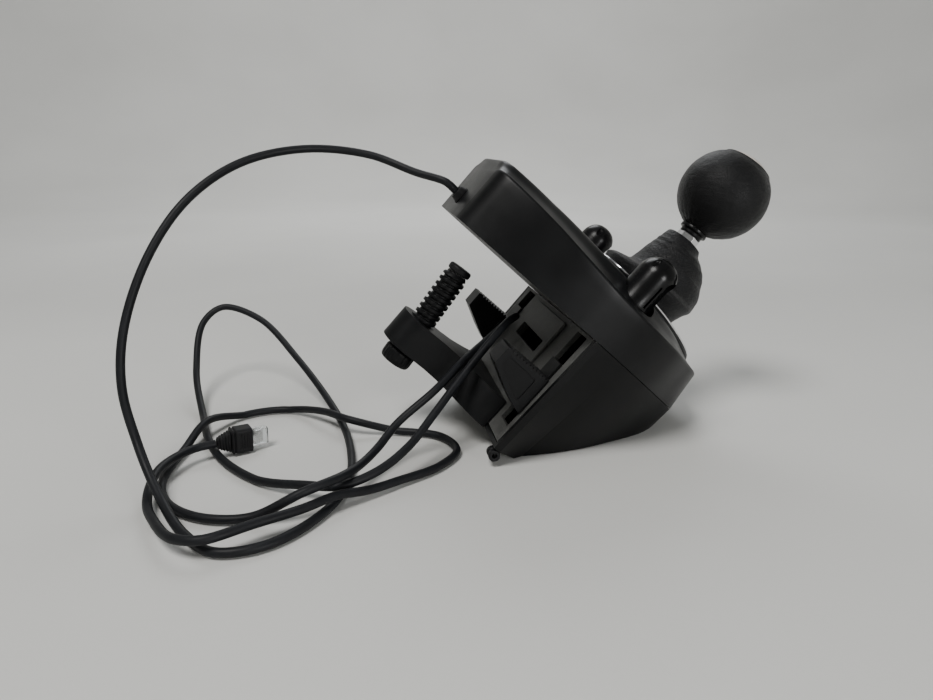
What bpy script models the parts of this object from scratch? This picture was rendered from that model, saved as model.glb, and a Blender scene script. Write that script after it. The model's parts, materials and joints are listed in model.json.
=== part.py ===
"""H-pattern racing gear shifter with a table clamp and its cable, lying at rest on a level floor.

Run it with: blender --background --python part.py
Sizes are in millimetres in the code; meshes are scaled to metres when they are made.

The shifter is modelled upright, in its own axes: z = 0 is the flat underside of the deck, y = 0 is the
back wall, x = 0 is the middle, +Y runs over the table and +Z runs up the lever. The "shifter_axes" empty
then tilts it by TILT_DEG, as it lies on its flat lower front face. The cable lies on the floor.
"""

import math

import bmesh
import bpy
from mathutils import Matrix, Vector

MM = 0.001
GAP = 0.3
TILT_DEG = 42.0
FLOOR_Z = -62.0

# deck (upper casing)
DECK_REAR_Y = 79.0
DECK_SKIN = 2.6
DECK_WIDTHS = [  # (y, half width) along the deck's plan outline
    (-80.5, 7.0), (-78.6, 15.0), (-76.0, 21.8), (-72.0, 29.0), (-66.0, 36.0), (-57.0, 43.0),
    (-38.0, 56.0), (-19.5, 62.4), (-8.0, 63.6), (5.0, 63.2), (20.0, 60.5), (40.0, 54.5), (58.0, 47.0),
    (70.0, 40.5), (75.5, 36.5), (78.0, 32.5), (DECK_REAR_Y, 28.0)]
RIM_HEIGHTS = [  # (y, height) of the deck's outer rim
    (-80.5, 22.7), (-19.0, 22.5), (0.0, 23.0), (23.0, 25.0), (47.0, 27.7), (72.0, 29.6), (79.0, 29.9)]
CREST_HEIGHTS = [  # (y, height) of the flat middle of the deck's top
    (-80.5, 23.6), (-69.0, 25.8), (-60.0, 27.2), (-29.0, 30.7), (0.0, 32.4), (20.0, 33.6),
    (45.0, 35.2), (60.0, 35.5), (72.0, 35.4), (DECK_REAR_Y, 34.6)]
NOSE_DRAFT, NOSE_START = 4.5, -40.0  # the nose leans out this much at the underside, ahead of this y
BEZEL_WIDTHS = [  # (y, half width) of the plate around the boot
    (-74.0, 8.0), (-72.0, 13.0), (-65.0, 20.0), (-52.0, 27.0), (-29.0, 33.2), (-12.0, 34.4), (0.0, 32.0),
    (6.0, 26.0), (9.5, 17.0), (10.5, 8.0)]
BEZEL_THICK = 2.0
DECK_PLATE, DECK_PLATE_FRONT = 2.5, -0.2

# lower casing and its back cover
WALL_HALF_TOP, WALL_HALF_LOW, WALL_LOW_Z = 63.2, 60.0, -69.0
NOSE_SCALE_LOW = 0.78
BODY_SKIN = 2.6
COVER_THICK, COVER_BACK = 2.7, -0.3
SLOT_X = (41.0, 54.0)
SLOT_Z = (-58.0, -2.0)

# lever, its cradle and its gate
PIVOT = (0.0, -33.5, 4.0)
LEAN_DEG = 3.5
BALL_Z, BALL_R = 99.8, 23.7
SHAFT_R = 4.0
CAP_R = 13.7
OPENING_Y, OPENING_R = -28.0, 27.0
CRADLE_Z = -14.0
GATE_Z, GATE_THICK = -33.0, 2.0
GATE_LANE_X, GATE_LANE_LENGTH, GATE_SLOT_WIDTH = 5.85, 20.8, 4.4
GUIDE_Z, GUIDE_R = -38.5, 1.8

# table clamps
KNOB_X, KNOB_Y = 47.5, -8.4
KNOB_R = 10.0
CLAMP_SCREW_R, CLAMP_BORE_R = 2.5, 2.9
JAW_TOP, JAW_REACH, JAW_TEETH = -27.9, 26.5, 11
JAW_BLOCK = 15.0
RIGHT_LIFT = 5.5

# lower bracket and its screw
ARM_SCREW_Y, ARM_SCREW_Z, ARM_SCREW_R, ARM_PITCH = 50.5, -61.0, 6.9, 3.5
ARM_SCREW_LEAN_DEG = 5.0
ARM_TOP, ARM_LOW = -51.8, -69.2
ARM_BOLT_X, ARM_BOLT_Z = 24.0, -55.0

# cable and plug
CABLE_R = 2.0
CABLE_STEP = 10.0
OUTLET_Z = 10.0
PLUG_START = (-27.0, 178.0, FLOOR_Z + 7.5)
PLUG_WAY = (0.45, -1.0, -0.05)


def clear_scene():
    for ob in list(bpy.data.objects):
        bpy.data.objects.remove(ob)


def along(knots, x):
    """Value at x through (x, value) knots in rising x: a cubic whose slopes never overshoot."""
    xs = [k[0] for k in knots]
    vs = [k[1] for k in knots]
    steps = [(vs[i + 1] - vs[i]) / (xs[i + 1] - xs[i]) for i in range(len(xs) - 1)]
    slopes = [steps[0]]
    for a, b in zip(steps, steps[1:]):
        slopes.append(2 * a * b / (a + b) if a * b > 0 else 0.0)
    slopes.append(steps[-1])
    x = min(max(x, xs[0]), xs[-1])
    i = max(k for k in range(len(steps)) if xs[k] <= x)
    h = xs[i + 1] - xs[i]
    t = (x - xs[i]) / h
    return ((2 * t**3 - 3 * t**2 + 1) * vs[i] + (t**3 - 2 * t**2 + t) * h * slopes[i]
            + (3 * t**2 - 2 * t**3) * vs[i + 1] + (t**3 - t**2) * h * slopes[i + 1])


MATERIALS = {  # name: (red, green, blue), roughness, metallic
    "deck_plastic": ((0.030, 0.031, 0.034), 0.42, 0.0),
    "casing_plastic": ((0.022, 0.023, 0.025), 0.60, 0.0),
    "cover_plastic": ((0.045, 0.046, 0.048), 0.55, 0.0),
    "knob_plastic": ((0.018, 0.018, 0.020), 0.28, 0.0),
    "clamp_plastic": ((0.020, 0.021, 0.023), 0.50, 0.0),
    "ball_leather": ((0.020, 0.020, 0.022), 0.50, 0.0),
    "boot_leather": ((0.022, 0.022, 0.024), 0.55, 0.0),
    "cap_plastic": ((0.42, 0.40, 0.38), 0.35, 0.0),
    "chrome": ((0.80, 0.80, 0.82), 0.12, 1.0),
    "steel": ((0.55, 0.56, 0.58), 0.35, 1.0),
    "plug_steel": ((0.70, 0.70, 0.70), 0.25, 1.0),
    "cable_rubber": ((0.020, 0.022, 0.026), 0.60, 0.0),
    "plug_rubber": ((0.018, 0.018, 0.020), 0.55, 0.0),
    "nylon": ((0.030, 0.030, 0.032), 0.50, 0.0),
    "circuit": ((0.02, 0.16, 0.07), 0.45, 0.0),
    "clear_plastic": ((0.80, 0.82, 0.84), 0.15, 0.0),
}


def material(name):
    found = bpy.data.materials.get(name)
    if found:
        return found
    made = bpy.data.materials.new(name)
    made.use_nodes = True
    color, roughness, metallic = MATERIALS[name]
    shader = made.node_tree.nodes["Principled BSDF"]
    shader.inputs["Base Color"].default_value = (*color, 1.0)
    shader.inputs["Roughness"].default_value = roughness
    shader.inputs["Metallic"].default_value = metallic
    return made


def empty(name, parent=None, location=(0, 0, 0), rotation=(0, 0, 0)):
    ob = bpy.data.objects.new(name, None)
    bpy.context.collection.objects.link(ob)
    ob.parent = parent
    ob.location = Vector(location) * MM
    ob.rotation_euler = [math.radians(a) for a in rotation]
    return ob


def add(name, bm, slot, parent, location=(0, 0, 0), rotation=(0, 0, 0), smooth=True):
    """Make an object from a millimetre bmesh, with outward faces and one material."""
    bmesh.ops.recalc_face_normals(bm, faces=bm.faces)
    bm.transform(Matrix.Scale(MM, 4))
    mesh = bpy.data.meshes.new(name)
    bm.to_mesh(mesh)
    bm.free()
    if smooth:
        mesh.shade_smooth()
        mesh.set_sharp_from_angle(angle=math.radians(35))
    mesh.materials.append(material(slot))
    ob = bpy.data.objects.new(name, mesh)
    bpy.context.collection.objects.link(ob)
    ob.parent = parent
    ob.location = Vector(location) * MM
    ob.rotation_euler = [math.radians(a) for a in rotation]
    return ob


def cutter(name, bm, parent, location=(0, 0, 0), rotation=(0, 0, 0)):
    ob = add(name, bm, "steel", parent, location, rotation, smooth=False)
    ob.hide_render = True
    ob.display_type = "WIRE"
    return ob


def combine(ob, tool, operation="DIFFERENCE"):
    mod = ob.modifiers.new(tool.name, "BOOLEAN")
    mod.object = tool
    mod.operation = operation
    mod.solver = "EXACT"
    return ob


def cap_with_steps(bm, row):
    """Close a left-right symmetric ring with one quad per pair of levels, so that a bent end stays exact."""
    last = len(row) - 1
    for i in range(len(row) // 2 - 1):
        bm.faces.new((row[i], row[i + 1], row[last - i - 1], row[last - i]))


def loft(rings, closed=False, stepped=False):
    """Skin between rings of equal length. Open ends are capped; closed joins the last to the first."""
    bm = bmesh.new()
    rows = [[bm.verts.new(p) for p in ring] for ring in rings]
    count = len(rows[0])
    pairs = list(zip(rows, rows[1:]))
    if closed:
        pairs.append((rows[-1], rows[0]))
    for low, high in pairs:
        for i in range(count):
            j = (i + 1) % count
            bm.faces.new((low[i], low[j], high[j], high[i]))
    if closed:
        return bm
    for row in (rows[0], rows[-1]):
        if stepped:
            cap_with_steps(bm, row)
        else:
            bm.faces.new(row)
    return bm


def prism(outline, z0, z1):
    """Straight solid over an (x, y) outline."""
    return loft([[(x, y, z) for x, y in outline] for z in (z0, z1)])


def side_prism(outline, x0, x1):
    """Straight solid along X over a (y, z) outline."""
    return loft([[(x, y, z) for y, z in outline] for x in (x0, x1)])


def box(x0, x1, y0, y1, z0, z1):
    return prism([(x0, y0), (x1, y0), (x1, y1), (x0, y1)], z0, z1)


def circle(radius, count, z=0.0, centre=(0.0, 0.0)):
    turns = [2 * math.pi * i / count for i in range(count)]
    return [(centre[0] + radius * math.cos(a), centre[1] + radius * math.sin(a), z) for a in turns]


def turned(profile, count=32):
    """Solid of revolution about Z from (radius, z) points between its two flat ends."""
    return loft([circle(r, count, z) for r, z in profile])


def ring_turned(profile, count=32):
    """Hollow solid of revolution about Z: a closed (radius, z) profile that stays off the axis."""
    return loft([circle(r, count, z) for r, z in profile], closed=True)


def turn_to(bm, axis):
    """Turn a bmesh made along Z so that it runs along X or Y."""
    matrix = {"X": Matrix.Rotation(math.pi / 2, 4, "Y"), "Y": Matrix.Rotation(-math.pi / 2, 4, "X")}[axis]
    bm.transform(matrix)
    return bm


def coil(radius, wire, z0, z1, turns, steps=10, sides=4):
    """Helical wire about Z, its ends cut flat."""
    count = int(turns * steps)
    rings = []
    for i in range(count + 1):
        a = 2 * math.pi * turns * i / count
        z = z0 + wire + (z1 - z0 - 2 * wire) * i / count
        out = Vector((math.cos(a), math.sin(a), 0))
        centre = out * radius + Vector((0, 0, z))
        ring = []
        for k in range(sides):
            b = 2 * math.pi * k / sides
            ring.append(centre + out * wire * math.cos(b) + Vector((0, 0, wire * math.sin(b))))
        rings.append(ring)
    return loft(rings)


def tube(points, radius, sides=6):
    """Round cable along points, its section carried forward without twisting."""
    rings = []
    side = Vector((0, 0, 1))
    for i, p in enumerate(points):
        ahead = points[min(i + 1, len(points) - 1)]
        behind = points[max(i - 1, 0)]
        way = (ahead - behind).normalized()
        side = (side - way * side.dot(way)).normalized()
        other = way.cross(side)
        turns = [2 * math.pi * k / sides for k in range(sides)]
        rings.append([p + radius * (side * math.cos(a) + other * math.sin(a)) for a in turns])
    return loft(rings)


def smooth_path(knots, step):
    """Points about step apart on a centripetal spline through the knots."""
    pts = [Vector(k) for k in knots]
    pts = [pts[0] * 2 - pts[1]] + pts + [pts[-1] * 2 - pts[-2]]
    out = []
    for p0, p1, p2, p3 in zip(pts, pts[1:], pts[2:], pts[3:]):
        t0 = 0.0
        t1 = t0 + (p1 - p0).length ** 0.5
        t2 = t1 + (p2 - p1).length ** 0.5
        t3 = t2 + (p3 - p2).length ** 0.5
        count = max(2, round((p2 - p1).length / step))
        for i in range(count):
            t = t1 + (t2 - t1) * i / count
            a1 = p0.lerp(p1, (t - t0) / (t1 - t0))
            a2 = p1.lerp(p2, (t - t1) / (t2 - t1))
            a3 = p2.lerp(p3, (t - t2) / (t3 - t2))
            b1 = a1.lerp(a2, (t - t0) / (t2 - t0))
            b2 = a2.lerp(a3, (t - t1) / (t3 - t1))
            out.append(b1.lerp(b2, (t - t1) / (t2 - t1)))
    out.append(pts[-2])
    return out


# ---------------------------------------------------------------- deck

def deck_section(y, inset, floor_z):
    """Closed (x, z) outline of the deck across station y, pulled in by inset."""
    half = along(DECK_WIDTHS, y) - inset
    rim = along(RIM_HEIGHTS, y) - inset
    crest = max(along(CREST_HEIGHTS, y) - inset, rim + 0.3)
    rise = crest - rim
    slope = min(17.0, 8.0 + 0.3 * (DECK_REAR_Y - y), half * 0.5)
    right = [(half, floor_z), (half, rim - 2.0), (half - 0.6, rim - 0.6), (half - 2.0, rim),
             (half - 0.5 * slope, rim + 0.36 * rise), (half - slope, rim + 0.9 * rise),
             (max(half - 1.4 * slope, 1.5), crest)]
    return right + [(-x, z) for x, z in reversed(right)]


def deck_stations(inset):
    """Stations along the deck; an inner skin's are set off a little, so that no edges fall together."""
    first, last = DECK_WIDTHS[0][0] + inset, DECK_REAR_Y - inset
    inner = [y + 0.15 * inset for y, _ in DECK_WIDTHS if first + 0.8 < y < last - 1.2]
    return [first] + inner + [last]


def nose_lean(y, z):
    """How far the nose leans out at station y and height z: nothing at the rim, most at the underside."""
    ahead = (NOSE_START - y) / (NOSE_START - DECK_WIDTHS[0][0])
    below = 1.0 - z / RIM_HEIGHTS[0][1]
    return NOSE_DRAFT * min(max(ahead, 0.0), 1.0) * max(below, 0.0)


def deck_solid(inset, floor_z, leaning):
    """Deck body; the outside leans out at the nose, the hollow stays upright there."""
    rings = []
    for y in deck_stations(inset):
        section = deck_section(y, inset, floor_z)
        if leaning:
            rings.append([(x, y - nose_lean(y, z), z) for x, z in section])
        else:
            rings.append([(x, y, z) for x, z in section])
    return loft(rings, stepped=True)


def deck_plan(inset, y_low, y_high):
    """Deck outline at its underside between two y values, counterclockwise."""
    ys = [y_low] + [y for y, _ in DECK_WIDTHS if y_low + 0.8 < y < y_high - 0.8] + [y_high]
    right = [(along(DECK_WIDTHS, y) - inset, y) for y in ys]
    return right + [(-x, y) for x, y in reversed(right)]


def build_deck(axes):
    deck = add("deck_shell", deck_solid(0.0, 0.0, True), "deck_plastic", axes)
    hollow = cutter("cut_deck_hollow", deck_solid(DECK_SKIN, -5.0, False), axes)
    for name, x in (("left", -KNOB_X), ("right", KNOB_X)):
        tower = cutter(f"keep_tower_{name}", turned([(12.8, 12.0), (12.8, 45.0)], 24), axes, (x, KNOB_Y, 0))
        combine(hollow, tower)
    combine(deck, hollow)
    for name, x in (("left", -KNOB_X), ("right", KNOB_X)):
        pocket = turned([(KNOB_R + 0.8, 23.6), (KNOB_R + 0.8, 60.0)], 24)
        combine(deck, cutter(f"cut_knob_pocket_{name}", pocket, axes, (x, KNOB_Y, 0)))
        bore = turned([(3.2, 5.0), (3.2, 30.0)], 16)
        combine(deck, cutter(f"cut_knob_bore_{name}", bore, axes, (x, KNOB_Y, 0)))
        relief = turned([(9.8, 5.0), (9.8, 18.0)], 24)
        combine(deck, cutter(f"cut_tower_relief_{name}", relief, axes, (x, KNOB_Y, 0)))
    opening = turned([(OPENING_R, 12.0), (OPENING_R, 60.0)], 32)
    combine(deck, cutter("cut_lever_opening", opening, axes, (0, OPENING_Y, 0)))
    combine(deck, cutter("cut_cable_outlet", box(-4.5, 4.5, 70.0, 90.0, 5.5, 14.5), axes))
    return deck


def build_deck_plate(axes):
    outline = deck_plan(DECK_SKIN + GAP, DECK_PLATE_FRONT, DECK_REAR_Y - DECK_SKIN - GAP)
    plate = add("deck_base_plate", prism(outline, 0.0, DECK_PLATE), "cover_plastic", axes)
    for i, (x, y) in enumerate(deck_screw_places(), 1):
        hole = turned([(3.3, -1.0), (3.3, 1.5), (1.9, 1.5), (1.9, 4.0)], 10)
        combine(plate, cutter(f"cut_deck_screw_{i}", hole, axes, (x, y, 0)))
    return plate


def deck_screw_places():
    return [(sx * x, y) for x, y in ((46.0, 14.0), (26.0, 66.0)) for sx in (-1, 1)]


def build_deck_screws(axes):
    for i, (x, y) in enumerate(deck_screw_places(), 1):
        screw = turned([(2.9, 0.15), (2.9, 1.2), (1.5, 1.2), (1.5, 9.0)], 10)
        add(f"deck_screw_{i}", screw, "steel", axes, (x, y, 0))


# ---------------------------------------------------------------- lower casing

def floor_face_y(z):
    """y of the flat lower front face at height z: the face that lies on the floor."""
    tilt = math.radians(TILT_DEG)
    return (FLOOR_Z - z * math.cos(tilt)) / math.sin(tilt)


def casing_outline(z, inset, back):
    """Plan outline of the lower casing at height z, before its lower front face is cut."""
    depth = min(max(z / WALL_LOW_Z, -0.2), 1.1)
    rear = WALL_HALF_TOP + (WALL_HALF_LOW - WALL_HALF_TOP) * depth - inset
    squeeze = 1.0 + (NOSE_SCALE_LOW - 1.0) * max(depth, 0.0)
    nose = []
    for y, half in DECK_WIDTHS:
        if y <= -19.0:
            nose.append((half * squeeze - inset, y - nose_lean(y, 0.0) + inset))
    right = nose + [(rear, -4.0), (rear, back)]
    return [(-x, y) for x, y in reversed(right)] + right


def casing_loft(inset, top, back):
    """Lower casing solid out to y = back; a hollow's back lies behind the wall, to open it there."""
    levels = [WALL_LOW_Z + inset, -50.0, -30.0, -12.0, top]
    return loft([[(x, y, z) for x, y in casing_outline(z, inset, back)] for z in levels])


def floor_side(shift):
    """Big block on the outer side of the lower front face, shifted inwards by shift."""
    lift = shift / math.sin(math.radians(TILT_DEG))
    top, low = (20.0, -110.0)
    outline = [(floor_face_y(top) + lift, top), (floor_face_y(low) + lift, low), (-200.0, low),
               (-200.0, top)]
    return side_prism(outline, -90.0, 90.0)


def post_places():
    return [(sx * x, y) for x, y in ((33.0, -19.0), (25.0, -50.0)) for sx in (-1, 1)]


def build_casing(axes):
    casing = add("lower_casing", casing_loft(0.0, -GAP, COVER_BACK), "casing_plastic", axes)
    combine(casing, cutter("cut_floor_face", floor_side(0.0), axes))
    hollow = cutter("cut_casing_hollow", casing_loft(BODY_SKIN, 5.0, 5.0), axes)
    combine(hollow, cutter("keep_floor_face", floor_side(BODY_SKIN), axes))
    for i, (x, y) in enumerate(post_places(), 1):
        post = turned([(3.6, -90.0), (3.6, CRADLE_Z - GAP)], 12)
        combine(hollow, cutter(f"keep_post_{i}", post, axes, (x, y, 0)))
    combine(casing, hollow)
    for i, (x, y) in enumerate(post_places(), 1):
        bore = turned([(1.7, CRADLE_Z - 8.0), (1.7, 0.0)], 12)
        combine(casing, cutter(f"cut_post_bore_{i}", bore, axes, (x, y, 0)))
    return casing


def wall_half(z):
    return WALL_HALF_TOP + (WALL_HALF_LOW - WALL_HALF_TOP) * z / WALL_LOW_Z


def build_back_cover(axes):
    inset = BODY_SKIN + GAP
    low, top = WALL_LOW_Z + inset, -GAP
    front, back = COVER_BACK - COVER_THICK, COVER_BACK
    rings = []
    for y in (front, back):
        corners = ((1, top), (1, low), (-1, low), (-1, top))
        rings.append([(sx * (wall_half(z) - inset), y, z) for sx, z in corners])
    cover = add("back_cover", loft(rings), "cover_plastic", axes)
    for name, sx in (("left", -1), ("right", 1)):
        slot = box(sx * SLOT_X[0], sx * SLOT_X[1], -9.0, 3.0, *SLOT_Z)
        combine(cover, cutter(f"cut_jaw_slot_{name}", slot, axes))
    return cover


def build_centre_panel(axes, cover):
    """Raised flat panel in the middle of the back cover."""
    outline = [(-26.0, -47.0), (26.0, -47.0), (26.0, -3.0), (-26.0, -3.0)]
    solid = loft([[(x, y, z) for x, z in outline] for y in (0.0, 1.5)])
    panel = add("centre_panel", solid, "cover_plastic", axes)
    slot = cutter("cut_panel_slot", box(-20.0, 20.0, -9.0, 3.0, -25.0, -17.5), axes)
    combine(panel, slot)
    combine(cover, slot)


def build_corner_feet(axes):
    for name, sx in (("left", -1), ("right", 1)):
        foot = turn_to(turned([(2.2, -3.5), (2.9, -2.8), (2.9, 2.8), (2.2, 3.5)], 16), "X")
        add(f"corner_foot_{name}", foot, "plug_rubber", axes, (sx * 55.5, -4.0, WALL_LOW_Z - 2.9 - GAP))


# ---------------------------------------------------------------- boot surround

def bezel_stations():
    """Stations along the plate around the boot: its own and the deck's, so that both bend alike."""
    first, last = BEZEL_WIDTHS[0][0], BEZEL_WIDTHS[-1][0]
    return sorted({y for y, _ in BEZEL_WIDTHS} | {y for y, _ in DECK_WIDTHS if first < y < last})


def bezel_outline(inset, height):
    """Closed outline of the plate, pulled in by inset, at a height above the deck's crest."""
    middle = (BEZEL_WIDTHS[0][0] + BEZEL_WIDTHS[-1][0]) / 2
    reach = BEZEL_WIDTHS[-1][0] - middle
    right = []
    for y in bezel_stations():
        pulled = middle + (y - middle) * (1.0 - inset / reach)
        right.append((along(BEZEL_WIDTHS, y) - inset, pulled, along(CREST_HEIGHTS, pulled) + GAP + height))
    return right + [(-x, y, z) for x, y, z in reversed(right)]


def build_bezel(axes):
    rings = []
    for y in bezel_stations():
        half, crest = along(BEZEL_WIDTHS, y), along(CREST_HEIGHTS, y) + GAP
        corners = ((half, 0.0), (half, BEZEL_THICK), (-half, BEZEL_THICK), (-half, 0.0))
        rings.append([(x, y, crest + z) for x, z in corners])
    plate = add("boot_bezel", loft(rings), "deck_plastic", axes)
    hole = turned([(25.6, 10.0), (25.6, 60.0)], 32)
    combine(plate, cutter("cut_bezel_hole", hole, axes, (0, OPENING_Y, 0)))
    low, high = BEZEL_THICK + GAP, BEZEL_THICK + 1.1
    rails = [(1.2, low), (1.2, high), (2.4, high), (2.4, low)]
    trim = loft([bezel_outline(inset, height) for inset, height in rails], closed=True)
    add("chrome_trim", trim, "chrome", axes)


BOOT_TOP, BOOT_SKIN = 72.3, 1.3
BOOT_RINGS = [  # (z, rear y, front y) of the boot's outer surface, from its hem up to its neck
    (28.0, -4.4, -52.6), (36.0, -3.6, -53.4), (42.0, -2.6, -55.9), (45.0, -6.5, -57.7), (47.5, -13.0, -58.0),
    (57.0, -15.5, -54.5), (62.0, -16.5, -51.5), (66.0, -17.0, -47.5), (69.0, -17.8, -42.0),
    (BOOT_TOP, -18.6, -39.6)]


def build_boot(axes):
    outer, inner = [], []
    for z, rear, front in BOOT_RINGS:
        centre, radius = (rear + front) / 2, (rear - front) / 2
        outer.append(circle(radius, 20, z, (0.0, centre)))
        inner.append(circle(radius - BOOT_SKIN, 20, z - 0.2, (0.0, centre)))
    throat = [circle(4.9, 20, z, (0.0, -29.3)) for z in (BOOT_TOP, BOOT_TOP - 1.7)]
    rings = outer + throat + list(reversed(inner[:-1]))
    add("leather_boot", loft(rings, closed=True), "boot_leather", axes)


# ---------------------------------------------------------------- lever mechanism

def build_cradle(axes):
    """Plate on the casing's posts with two uprights that carry the fore-and-aft axle."""
    _, py, pz = PIVOT
    plate = add("pivot_cradle", box(-38.0, 38.0, -54.5, -14.5, CRADLE_Z, CRADLE_Z + 2.5), "nylon", axes)
    for name, sx in (("left", -1), ("right", 1)):
        outline = [(py - 8, CRADLE_Z + 1.0), (py + 8, CRADLE_Z + 1.0), (py + 5.5, pz + 5.5),
                   (py - 5.5, pz + 5.5)]
        upright = side_prism(outline, sx * 19.0, sx * 23.0)
        combine(plate, cutter(f"join_upright_{name}", upright, axes), "UNION")
    axle = turn_to(turned([(3.15, -30.0), (3.15, 30.0)], 24), "X")
    combine(plate, cutter("cut_axle_bore", axle, axes, PIVOT))
    combine(plate, cutter("cut_cradle_well", box(-13.0, 13.0, -47.0, -21.0, -20.0, -5.0), axes))
    for i, (x, y) in enumerate(post_places(), 1):
        hole = turned([(1.8, CRADLE_Z - 2.0), (1.8, CRADLE_Z + 6.0)], 12)
        combine(plate, cutter(f"cut_cradle_hole_{i}", hole, axes, (x, y, 0)))
        top = CRADLE_Z + 2.5 + GAP
        screw = turned([(1.4, CRADLE_Z - 6.0), (1.4, top), (3.0, top), (3.0, top + 1.8)], 10)
        add(f"cradle_screw_{i}", screw, "steel", axes, (x, y, 0))


def build_gate(axes):
    """Channel under the cradle whose floor has the H of slots that guides the lever's lower pin."""
    y0, y1 = -46.5, -23.5
    channel = add("gate_plate", box(-14.0, 14.0, y0, y1, GATE_Z, CRADLE_Z - GAP), "nylon", axes)
    inside = box(-12.0, 12.0, y0 - 5, y1 + 5, GATE_Z + GATE_THICK, 0.0)
    combine(channel, cutter("cut_gate_inside", inside, axes))
    middle = PIVOT[1] + (GATE_Z + GATE_THICK / 2 - PIVOT[2]) * math.tan(math.radians(LEAN_DEG))
    low, high = GATE_Z - 7.0, GATE_Z + 5.0
    half = GATE_SLOT_WIDTH / 2
    reach = GATE_LANE_X + half + 0.05
    neutral = box(-reach, reach, middle - half - 0.1, middle + half + 0.1, low, high)
    combine(channel, cutter("cut_gate_neutral", neutral, axes))
    for name, x in (("left", -GATE_LANE_X), ("centre", 0.0), ("right", GATE_LANE_X)):
        reach = GATE_LANE_LENGTH / 2
        lane = box(x - half, x + half, middle - reach, middle + reach, low, high)
        combine(channel, cutter(f"cut_gate_lane_{name}", lane, axes))


def build_gimbal(lever):
    frame = add("gimbal_frame", box(-17.0, 17.0, -13.0, 13.0, -5.0, 5.0), "nylon", lever)
    combine(frame, cutter("cut_gimbal_window", box(-13.2, 13.2, -9.5, 9.5, -9.0, 9.0), lever))
    for name, sx in (("left", -1), ("right", 1)):
        stub = turn_to(turned([(3.0, -4.2), (3.0, 4.2)], 24), "X")
        combine(frame, cutter(f"join_stub_{name}", stub, lever, (sx * 20.6, 0, 0)), "UNION")
    pin_bore = turn_to(turned([(2.6, -20.0), (2.6, 20.0)], 20), "Y")
    combine(frame, cutter("cut_cross_bore", pin_bore, lever))
    pin = turn_to(turned([(2.2, -13.4), (2.45, -13.0), (2.45, 13.0), (2.2, 13.4)], 20), "Y")
    add("cross_pin", pin, "steel", lever)
    spring = turn_to(coil(3.9, 0.45, 6.9, 9.2, 1.6), "Y")
    add("side_return_spring", spring, "steel", lever)
    add("side_sensor", box(-6.0, 6.0, -16.6, -14.0, -5.0, 5.0), "circuit", lever)


def build_fore_aft_sensor(axes):
    _, py, pz = PIVOT
    add("fore_aft_sensor", box(25.6, 28.0, py - 6.0, py + 6.0, pz - 6.0, pz + 6.0), "circuit", axes)


def build_hub(lever):
    """Block on the cross pin, with the sleeve for the sliding shaft above and the guide pin below."""
    profile = [(1.0, GUIDE_Z - 0.8), (GUIDE_R, GUIDE_Z), (GUIDE_R, -18.0), (3.0, -17.0), (3.0, -7.0),
               (6.4, -6.5), (6.4, 27.6), (5.9, 28.2)]
    hub = add("lever_hub", turned(profile, 24), "nylon", lever)
    bore = turned([(4.35, 5.0), (4.35, 40.0)], 24)
    combine(hub, cutter("cut_sleeve_bore", bore, lever))
    pin_bore = turn_to(turned([(2.6, -20.0), (2.6, 20.0)], 20), "Y")
    combine(hub, cutter("cut_hub_bore", pin_bore, lever))


def build_shaft(lever):
    top = BALL_Z + 8.0
    profile = [(3.4, 14.0), (SHAFT_R, 14.6), (SHAFT_R, 43.5), (6.6, 43.9), (6.6, 45.6), (SHAFT_R, 46.0),
               (SHAFT_R, top - 0.6), (3.4, top)]
    add("lever_shaft", turned(profile, 24), "chrome", lever)
    add("push_spring", coil(5.4, 0.5, 28.6, 43.3, 5.0), "steel", lever)
    bore = turned([(SHAFT_R + 0.35, 60.0), (SHAFT_R + 0.35, 80.0)], 24)
    hexagon = add("lever_nut", turned([(6.4, 69.4), (6.4, 72.3)], 6), "chrome", lever)
    combine(hexagon, cutter("cut_nut_bore", bore, lever))
    collar = ring_turned([(4.35, 72.6), (6.0, 72.6), (6.3, 73.0), (6.3, 74.6), (7.6, 75.0), (7.8, 75.4),
                          (7.8, 76.4), (7.4, 76.8), (4.35, 76.8)], 20)
    add("lever_collar", collar, "knob_plastic", lever)


def build_ball(lever):
    low = math.acos(7.0 / BALL_R)
    high = math.acos(CAP_R / BALL_R)
    outside = []
    for i in range(11):
        a = -low + (low + high) * i / 10
        outside.append((BALL_R * math.cos(a), BALL_R * math.sin(a)))
    seat = outside[-1][1] - 2.4
    lower_end = outside[0][1]
    profile = outside + [(CAP_R - 0.5, outside[-1][1]), (CAP_R - 0.5, seat), (4.35, seat), (4.35, lower_end)]
    add("ball_knob", ring_turned([(r, z + BALL_Z) for r, z in profile], 24), "ball_leather", lever)
    r = CAP_R - 0.9
    base = seat + GAP
    cap = [(r, base), (r, seat + 2.5), (r - 0.6, seat + 3.2), (r - 3.0, seat + 4.6), (r - 7.0, seat + 6.0),
           (2.0, seat + 6.6)]
    add("knob_cap", turned([(a, b + BALL_Z) for a, b in cap], 24), "cap_plastic", lever)


# ---------------------------------------------------------------- side clamps

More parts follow.
